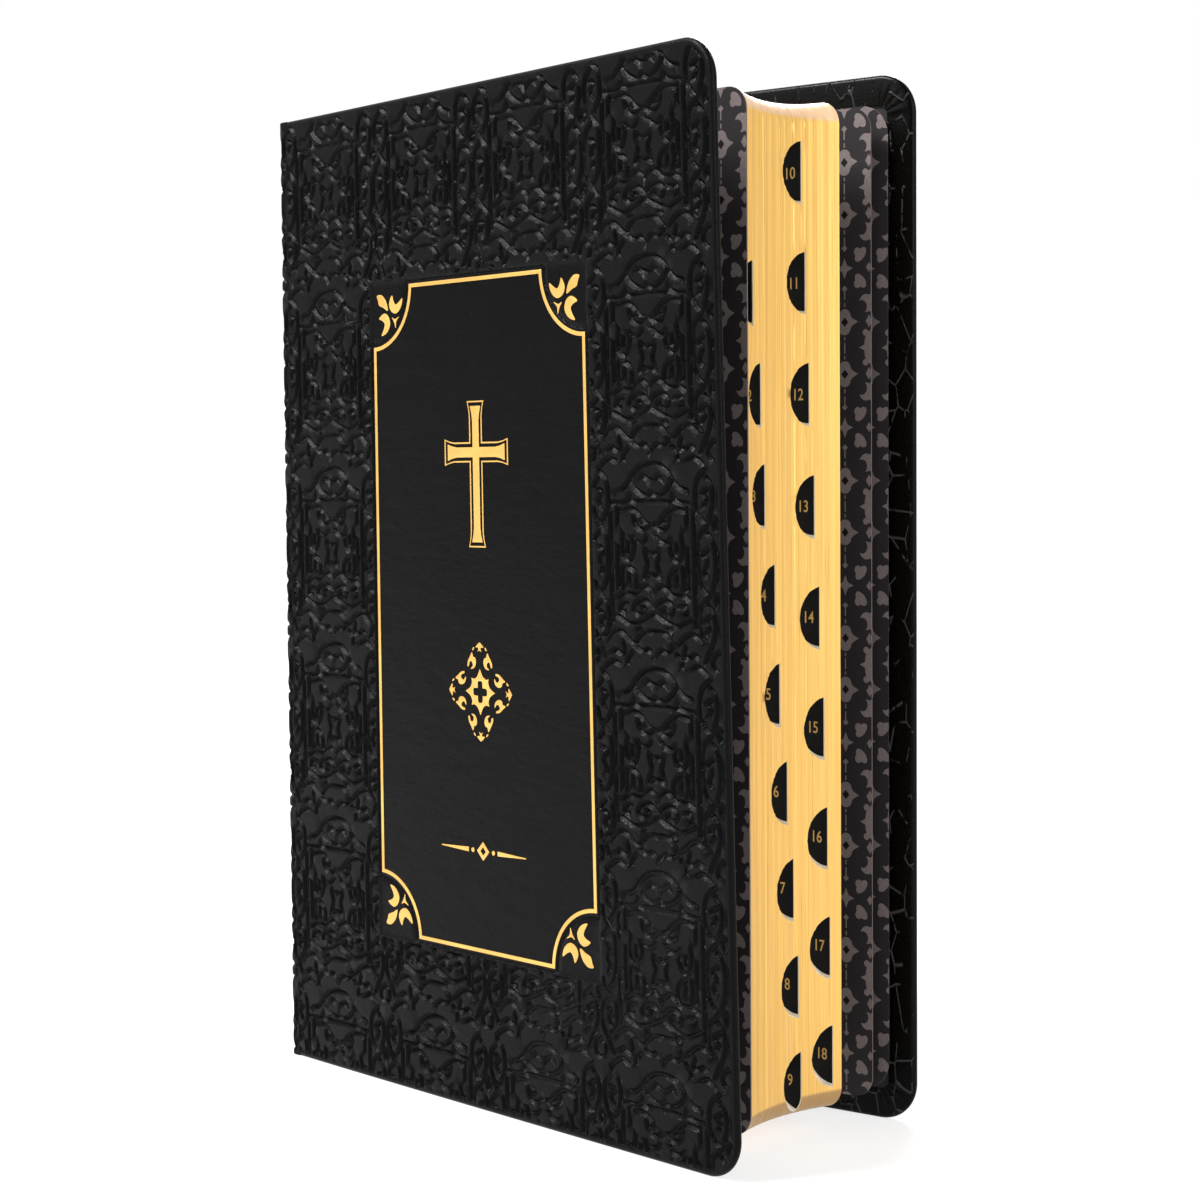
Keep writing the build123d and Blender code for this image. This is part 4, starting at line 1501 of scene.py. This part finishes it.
def sagged(x, y, z):
    """Frame places of points of the closed book, with the sag of the head edge."""
    sag = sizes()["block_sag"] * (1 - (y / HALF_BLOCK) ** 2) * ramp(z, 170, 225) * ramp(x, 12, 120)
    return (np.column_stack([x, y, z - np.clip(sag, 0, None)]) + ORIGIN) * MM


def gilt_faces(side, notches, columns, rows):
    """The gilt edge of one half, cut by the notches: places (depth, run) and the faces over them."""
    outline = [(y, 0.0) for y in columns] + [(HALF_BLOCK, s) for s in rows[1:-1]]
    outline += [(y, WHOLE_RUN) for y in columns[::-1]] + [(-HALF_BLOCK, s) for s in rows[1:-1][::-1]]
    coords = [Vector(point) for point in outline]
    edges = [(k, (k + 1) % len(outline)) for k in range(len(outline))]
    start = len(coords)
    coords += [Vector((0.0, s)) for s in rows[1:-1]]
    edges += [(start + k, start + k + 1) for k in range(len(rows) - 3)]
    for notch in notches:
        lows, highs = zip(*[notch.exits(y) for y in notch.rows])
        loop = list(zip(notch.rows, lows))
        loop += [(notch.leaf, s) for s in rows if lows[-1] + 0.05 < s < highs[-1] - 0.05]
        loop += [(y, high) for y, high in list(zip(notch.rows, highs))[::-1] if y > notch.tip + 0.01]
        if notch.tip < -HALF_BLOCK:
            loop += [(-HALF_BLOCK, s) for s in rows[::-1] if lows[0] + 0.05 < s < highs[0] - 0.05]
        start = len(coords)
        coords += [Vector(point) for point in loop]
        edges += [(start + k, start + (k + 1) % len(loop)) for k in range(len(loop))]
    inner_y, inner_s = np.meshgrid(columns[1:-1], rows[1:-1])
    inner = np.column_stack([inner_y.ravel(), inner_s.ravel()])
    away = np.ones(len(inner), bool)
    for notch in notches:
        close = (inner[:, 0] > notch.tip - 0.5) & (inner[:, 0] < notch.leaf + 0.25)
        for k in np.nonzero(close)[0]:
            low, high = notch.exits(min(max(inner[k, 0], notch.tip), notch.leaf))
            if low - 0.5 < inner[k, 1] < high + 0.5:
                away[k] = False
    coords += [Vector(point) for point in inner[away]]
    points, _, faces, _, _, _ = delaunay_2d_cdt(coords, edges, [], 1, 1e-5)
    points = np.array([tuple(point) for point in points])

    kept = []
    for face in faces:
        y, s = points[list(face)].mean(0)
        if (y < 0) != (side < 0):
            continue
        open_here = [notch.exits(y) for notch in notches if notch.tip < y < notch.leaf]
        if not any(low < s < high for low, high in open_here):
            kept.append(face)
    return points, kept


def block_half(side):
    """One half of the text block, with its gilt edges, cut notches and outer pages."""
    notches = [Notch(order) for order in range(len(INDEX_DEPTHS))]
    columns = block_columns()
    points, kept = gilt_faces(side, notches, columns, edge_rows())
    sheet = Sheet()
    sheet.add(edge_points(points[:, 0], points[:, 1]), kept, 0)
    half_columns = columns[columns <= 0] if side < 0 else columns[columns >= 0]
    for s, level in ((0.0, BLOCK_TAIL), (WHOLE_RUN, BLOCK_HEAD)):
        strips = []
        for y in half_columns:
            front_x = edge_points(y, np.array([s]))[0, 0]
            strip = np.linspace(front_x, float(round_back(y)), STRIP_POINTS)
            strips.append(np.column_stack([strip, np.full(STRIP_POINTS, y), np.full(STRIP_POINTS, level)]))
        sheet.grid(strips, 0)
    sheet.grid([np.array([(float(round_back(y)), y, level) for level in (BLOCK_TAIL, BLOCK_HEAD)])
                for y in half_columns], 2)
    for notch in notches:
        inside = [y for y in notch.rows if (y <= 0 if side < 0 else y >= 0)]
        if len(inside) > 1:
            sheet.grid([notch.cut_row(y) for y in inside], 1)
        if (notch.leaf < 0) == (side < 0) and notch.leaf != 0:
            low, high = notch.exits(notch.leaf)
            wall = np.vstack([notch.cut_row(notch.leaf), edge_between(notch.leaf, low, high)[::-1]])
            sheet.add(wall, [tuple(range(len(wall)))], 2)
    for y in (side * HALF_BLOCK, 0.0):
        open_here = [notch for notch in notches
                     if notch.tip < y - 1e-6 and (y < notch.leaf or (y == notch.leaf and side < 0))]
        flat, faces = triangles(page_outline(y, open_here)[:, [0, 2]], np.empty((0, 2)))
        sheet.add(np.column_stack([flat[:, 0], np.full(len(flat), y), flat[:, 1]]), faces, 2)

    def place(x, y, z):
        return sagged(x, np.where(np.abs(y) < 1e-4, side * HALF_GAP, y), z)
    piece = sheet.piece(
        "pages_" + HALF_NAMES[side], place, [gilt_material(), cut_paper_material(), page_material()])
    surface = piece.data.attributes["surface"]
    values = np.zeros(len(piece.data.vertices) * 3, np.float32)
    surface.data.foreach_get("vector", values)
    values = values.reshape(-1, 3)[:, [0, 2, 1]]
    values[:, 1] -= BLOCK_TAIL * MM
    surface.data.foreach_set("vector", values.ravel())
    first, last = (1, FRONT_HALF_NOTCHES) if side < 0 else (FRONT_HALF_NOTCHES + 1, len(INDEX_DEPTHS) + 1)
    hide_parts(*[f"page_section_{order:02d}" for order in range(first, last + 1)])
    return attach(piece, HALF_BODIES[side])


class BIBLE_OT_pages(bpy.types.Operator):
    """Make both halves of the text block, gilt on three edges and cut with the thumb notches"""
    bl_idname = "bible.pages"
    bl_label = "Pages"

    def execute(self, context):
        for side in (-1, 1):
            block_half(side)
        return {"FINISHED"}


def figure_curve(text, height):
    """Plain figures as a flat text, about as high as asked."""
    size_for_height = 1.25
    figure = bpy.data.curves.new("figure", "FONT")
    figure.body = text
    figure.size = height * size_for_height
    figure.align_x = "CENTER"
    figure.align_y = "CENTER"
    figure.extrude = 0.012
    figure.offset = 0.02
    return figure


def index_labels(name, orders, body, replaced):
    """Half-round black labels with plain gold figures, on the leaves behind their notches."""
    given = sizes()
    radius = given["label_radius"]
    edge_inset, face_gap, thickness = 0.25, 0.12, 0.1
    figure_share, figure_width, figure_rise = 0.44, 0.86, 0.01
    sheet = Sheet()
    for order in orders:
        notch = Notch(order)
        leaf = notch.leaf + (HALF_GAP if notch.leaf == 0 else 0)
        edge = notch.centre_x - edge_inset
        middle = notch.level + LABEL_LIFT
        side = np.linspace(middle - radius, middle + radius, 11)[1:-1]
        outline = np.vstack([arc((edge, middle), radius, 90, 270, 33),
                             np.column_stack([np.full(len(side), edge), side])])
        count = len(outline)
        if notch.level - radius < BLOCK_TAIL + LEAF_CORNER:
            inward, height = edge_run(np.linspace(0, WHOLE_RUN, 4000))
            limit = np.interp(outline[:, 1], height, inward) + notch.centre_x - 0.3
            outline[:, 0] = np.minimum(outline[:, 0], limit)
        front = np.column_stack([outline[:, 0], np.full(count, leaf - face_gap), outline[:, 1]])
        back = front + [0, thickness, 0]
        sheet.add(front, [tuple(range(count))], 0)
        sheet.add(back, [tuple(range(count))[::-1]], 0)
        sheet.band(front, back, 0)
        points, faces = mesh_data(curve_mesh("figure", figure_curve(str(order + 1), given["figure_height"])))
        x = edge - radius * figure_share + points[:, 0] * figure_width
        y = leaf - face_gap - figure_rise - points[:, 2]
        sheet.add(np.column_stack([x, y, notch.level + points[:, 1]]), faces, 1)
    piece = sheet.piece(name, sagged, [label_material(), foil_material("figure foil", 0.65)], smooth=False)
    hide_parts(replaced)
    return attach(piece, body)


class BIBLE_OT_index_labels(bpy.types.Operator):
    """Make the eighteen index labels, numbered in plain figures"""
    bl_idname = "bible.index_labels"
    bl_label = "Index labels"

    def execute(self, context):
        first = FRONT_HALF_NOTCHES - 1
        index_labels("labels_front", range(first), "front_half", "index_labels_front")
        index_labels("labels_rear", range(first, len(INDEX_DEPTHS)), "root", "index_labels_rear")
        return {"FINISHED"}


# ---- Inside the spine ---------------------------------------------------------------------------
BAND_SIZES = {"Turn Spacing": 0.00042, "Core Radius": 0.00052, "Thread Radius": 0.00023}
BAND_LIFT = 0.75


def wrapping_tree(material):
    """Geometry nodes that wrap turns of thread round a path."""
    tree = bpy.data.node_groups.new("thread wrapping", "GeometryNodeTree")
    tree.interface.new_socket("Geometry", in_out="INPUT", socket_type="NodeSocketGeometry")
    for name, default in BAND_SIZES.items():
        socket = tree.interface.new_socket(name, in_out="INPUT", socket_type="NodeSocketFloat")
        socket.default_value = default
    tree.interface.new_socket("Geometry", in_out="OUTPUT", socket_type="NodeSocketGeometry")

    def add(kind, settings=(), links=()):
        node = tree.nodes.new(kind)
        for key, value in dict(settings).items():
            setattr(node, key, value)
        for key, value in dict(links).items():
            if isinstance(value, bpy.types.NodeSocket):
                tree.links.new(value, node.inputs[key])
            else:
                node.inputs[key].default_value = value
        return node
    given = add("NodeGroupInput").outputs
    path = add("GeometryNodeMeshToCurve", {}, {"Mesh": given["Geometry"]})
    steps = add("GeometryNodeResampleCurve", {"mode": "LENGTH"}, {
        "Curve": path.outputs[0], "Length": given["Turn Spacing"]})
    ring = add("GeometryNodeCurvePrimitiveCircle", {}, {"Resolution": 12, "Radius": given["Core Radius"]})
    thread = add("GeometryNodeCurvePrimitiveCircle", {}, {"Resolution": 5, "Radius": given["Thread Radius"]})
    turn_mesh = add("GeometryNodeCurveToMesh", {}, {
        "Curve": ring.outputs[0], "Profile Curve": thread.outputs[0]})
    along = add("GeometryNodeInputTangent")
    aim = add("FunctionNodeAlignRotationToVector", {"axis": "Z"}, {"Vector": along.outputs[0]})
    turns = add("GeometryNodeInstanceOnPoints", {}, {
        "Points": steps.outputs[0], "Instance": turn_mesh.outputs[0], "Rotation": aim.outputs[0]})
    core_mesh = add("GeometryNodeCurveToMesh", {}, {
        "Curve": path.outputs[0], "Profile Curve": ring.outputs[0], "Fill Caps": True})
    both = add("GeometryNodeJoinGeometry")
    tree.links.new(turns.outputs[0], both.inputs[0])
    tree.links.new(core_mesh.outputs[0], both.inputs[0])
    real = add("GeometryNodeRealizeInstances", {}, {"Geometry": both.outputs[0]})
    painted = add("GeometryNodeSetMaterial", {}, {"Geometry": real.outputs[0], "Material": material})
    shaded = add("GeometryNodeSetShadeSmooth", {}, {0: painted.outputs[0]})
    final = add("NodeGroupOutput")
    tree.links.new(shaded.outputs[0], final.inputs[0])
    return tree


class BIBLE_OT_end_bands(bpy.types.Operator):
    """Make the thread-wrapped head and tail bands"""
    bl_idname = "bible.end_bands"
    bl_label = "End bands"

    def execute(self, context):
        material = thread_material()
        tree = wrapping_tree(material)
        names = {socket.name: socket.identifier
                 for socket in tree.interface.items_tree if socket.in_out == "INPUT"}
        for side in (-1, 1):
            for word, level in (("head", BLOCK_HEAD + BAND_LIFT), ("tail", BLOCK_TAIL - BAND_LIFT)):
                y = np.linspace(side * 0.75, side * (HALF_BLOCK - 0.7), BAND_POINTS)
                path = sagged(round_back(y) + 1.0, y, np.full(BAND_POINTS, level))
                mesh = bpy.data.meshes.new("path")
                mesh.from_pydata(path.tolist(), [(k, k + 1) for k in range(BAND_POINTS - 1)], [])
                holder = bpy.data.objects.new("path", mesh)
                bpy.context.scene.collection.objects.link(holder)
                modifier = holder.modifiers.new("wrapping", "NODES")
                modifier.node_group = tree
                for key, size in BAND_SIZES.items():
                    modifier[names[key]] = size
                bpy.context.view_layer.update()
                graph = context.evaluated_depsgraph_get()
                wrapped = bpy.data.meshes.new_from_object(holder.evaluated_get(graph))
                bpy.data.objects.remove(holder)
                name = f"{word}band_wrapped_{HALF_NAMES[side]}"
                piece = make_piece(name, wrapped, [] if wrapped.materials else [material], merge=0)
                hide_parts(f"{word}band_{HALF_NAMES[side]}")
                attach(piece, HALF_BODIES[side])
        return {"FINISHED"}


class BIBLE_OT_spine_lining(bpy.types.Operator):
    """Give the card liner, the open cloth and the sewing tapes of the spine their materials"""
    bl_idname = "bible.spine_lining"
    bl_label = "Spine lining"

    def execute(self, context):
        finishes = {
            "spine_liner": card_material("liner card", (0.20, 0.155, 0.11), (0.36, 0.29, 0.21)),
            "mull": woven_material("mull cloth", (0.62, 0.58, 0.5), (0.42, 0.39, 0.33), 0.9, 0.75),
            "sewing_tapes": woven_material("sewing tape", (0.68, 0.63, 0.52), (0.5, 0.46, 0.38), 0.5, 0.7),
        }
        for node, material in finishes.items():
            for word in HALF_NAMES.values():
                mesh = frame["nodes"][f"{node}_{word}"].data
                mesh.materials.clear()
                mesh.materials.append(material)
        return {"FINISHED"}


# ---- Stage --------------------------------------------------------------------------------------
CAMERA_AZIMUTH = 43.26
CAMERA_TILT = 2.98
CAMERA_ROLL = -0.45
CAMERA_LENS = 71.97
CAMERA_PLACE = (0.39447, -0.40428, 0.14658)


class BIBLE_OT_stage(bpy.types.Operator):
    """Make the pale floor, the soft lights and the camera"""
    bl_idname = "bible.stage"
    bl_label = "Stage"

    def execute(self, context):
        azimuth = math.radians(CAMERA_AZIMUTH)
        behind = Vector((-math.sin(azimuth), math.cos(azimuth), 0))
        across = Vector((math.cos(azimuth), math.sin(azimuth), 0))
        sweep = 1.2
        profile = [(-3.0, 0.0), (sweep, 0.0)]
        profile += [(sweep + sweep * math.sin(angle), sweep - sweep * math.cos(angle))
                    for angle in np.radians(np.linspace(6, 90, 15))]
        profile.append((2 * sweep, 5.0))
        points, faces = [], []
        for back, height in profile:
            for way in (-4.0, 4.0):
                points.append(behind * back + across * way + Vector((0, 0, height)))
        for k in range(len(profile) - 1):
            faces.append((2 * k, 2 * k + 1, 2 * k + 3, 2 * k + 2))
        mesh = bpy.data.meshes.new("floor")
        mesh.from_pydata(points, [], faces)
        floor = make_piece("floor", mesh, [floor_material()], merge=0, outwards=False)

        scene = context.scene
        world = bpy.data.worlds.new("studio")
        world.use_nodes = True
        background = world.node_tree.nodes["Background"]
        background.inputs["Color"].default_value = (1, 1, 1, 1)
        background.inputs["Strength"].default_value = 0.35
        scene.world = world
        scene.view_settings.view_transform = "Standard"
        lights = (
            ("top light", (-0.45, -0.75, 1.35), (0, 0, 0.12), 0.5, 40.0),
            ("side light", (1.35, -0.2, 0.6), (0.05, 0, 0.12), 1.0, 16.0),
            ("front light", (-0.7, -1.4, 0.75), (0, 0, 0.12), 0.8, 5.0),
            ("back light", (-0.6, 1.2, 1.1), (0, 0, 0.12), 0.5, 18.0),
        )
        for name, place, aim, size, power in lights:
            light = bpy.data.lights.new(name, "AREA")
            light.shape = "DISK"
            light.size = size
            light.energy = power
            holder = bpy.data.objects.new(name, light)
            holder.location = place
            holder.rotation_euler = (Vector(aim) - Vector(place)).to_track_quat("-Z", "Y").to_euler()
            scene.collection.objects.link(holder)

        tilt, roll = math.radians(CAMERA_TILT), math.radians(CAMERA_ROLL)
        back = Vector((0, 0, math.sin(tilt))) - behind * math.cos(tilt)
        up = back.cross(across)
        turned_right = across * math.cos(roll) + up * math.sin(roll)
        turned_up = up * math.cos(roll) - across * math.sin(roll)
        camera = bpy.data.objects.new("camera", bpy.data.cameras.new("camera"))
        camera.data.sensor_width = 36.0
        camera.data.lens = CAMERA_LENS
        camera.data.clip_start, camera.data.clip_end = 0.01, 50.0
        columns = (turned_right, turned_up, back, Vector(CAMERA_PLACE))
        camera.matrix_world = Matrix([[column[k] for column in columns] for k in range(3)] + [(0, 0, 0, 1)])
        scene.collection.objects.link(camera)
        scene.camera = camera
        return {"FINISHED"}


OPERATORS = (
    BIBLE_OT_stage, BIBLE_OT_cover_leather, BIBLE_OT_cover_linings, BIBLE_OT_spine_leather,
    BIBLE_OT_gold_blocking, BIBLE_OT_flyleaves, BIBLE_OT_joint_papers, BIBLE_OT_pages,
    BIBLE_OT_index_labels, BIBLE_OT_end_bands, BIBLE_OT_spine_lining)


class BIBLE_PT_panel(bpy.types.Panel):
    """The bible's pieces, in the order they are made"""
    bl_label = "Bible"
    bl_idname = "BIBLE_PT_panel"
    bl_space_type = "VIEW_3D"
    bl_region_type = "UI"
    bl_category = "Bible"

    def draw(self, context):
        layout = self.layout
        for group in (context.scene.bible_sizes, context.scene.bible_colours):
            box = layout.box()
            for key in group.__annotations__:
                box.prop(group, key)
        for operator in OPERATORS:
            layout.operator(operator.bl_idname)


CLASSES = SETTINGS + OPERATORS + (BIBLE_PT_panel,)


def register():
    for made in CLASSES:
        bpy.utils.register_class(made)
    bpy.types.Scene.bible_sizes = bpy.props.PointerProperty(type=BibleSizes)
    bpy.types.Scene.bible_colours = bpy.props.PointerProperty(type=BibleColours)


def unregister():
    del bpy.types.Scene.bible_colours
    del bpy.types.Scene.bible_sizes
    for made in reversed(CLASSES):
        bpy.utils.unregister_class(made)


def main():
    """Makes every piece in order."""
    register()
    for operator in OPERATORS:
        group, name = operator.bl_idname.split(".")
        getattr(getattr(bpy.ops, group), name)()


if __name__ == "__main__":
    main()
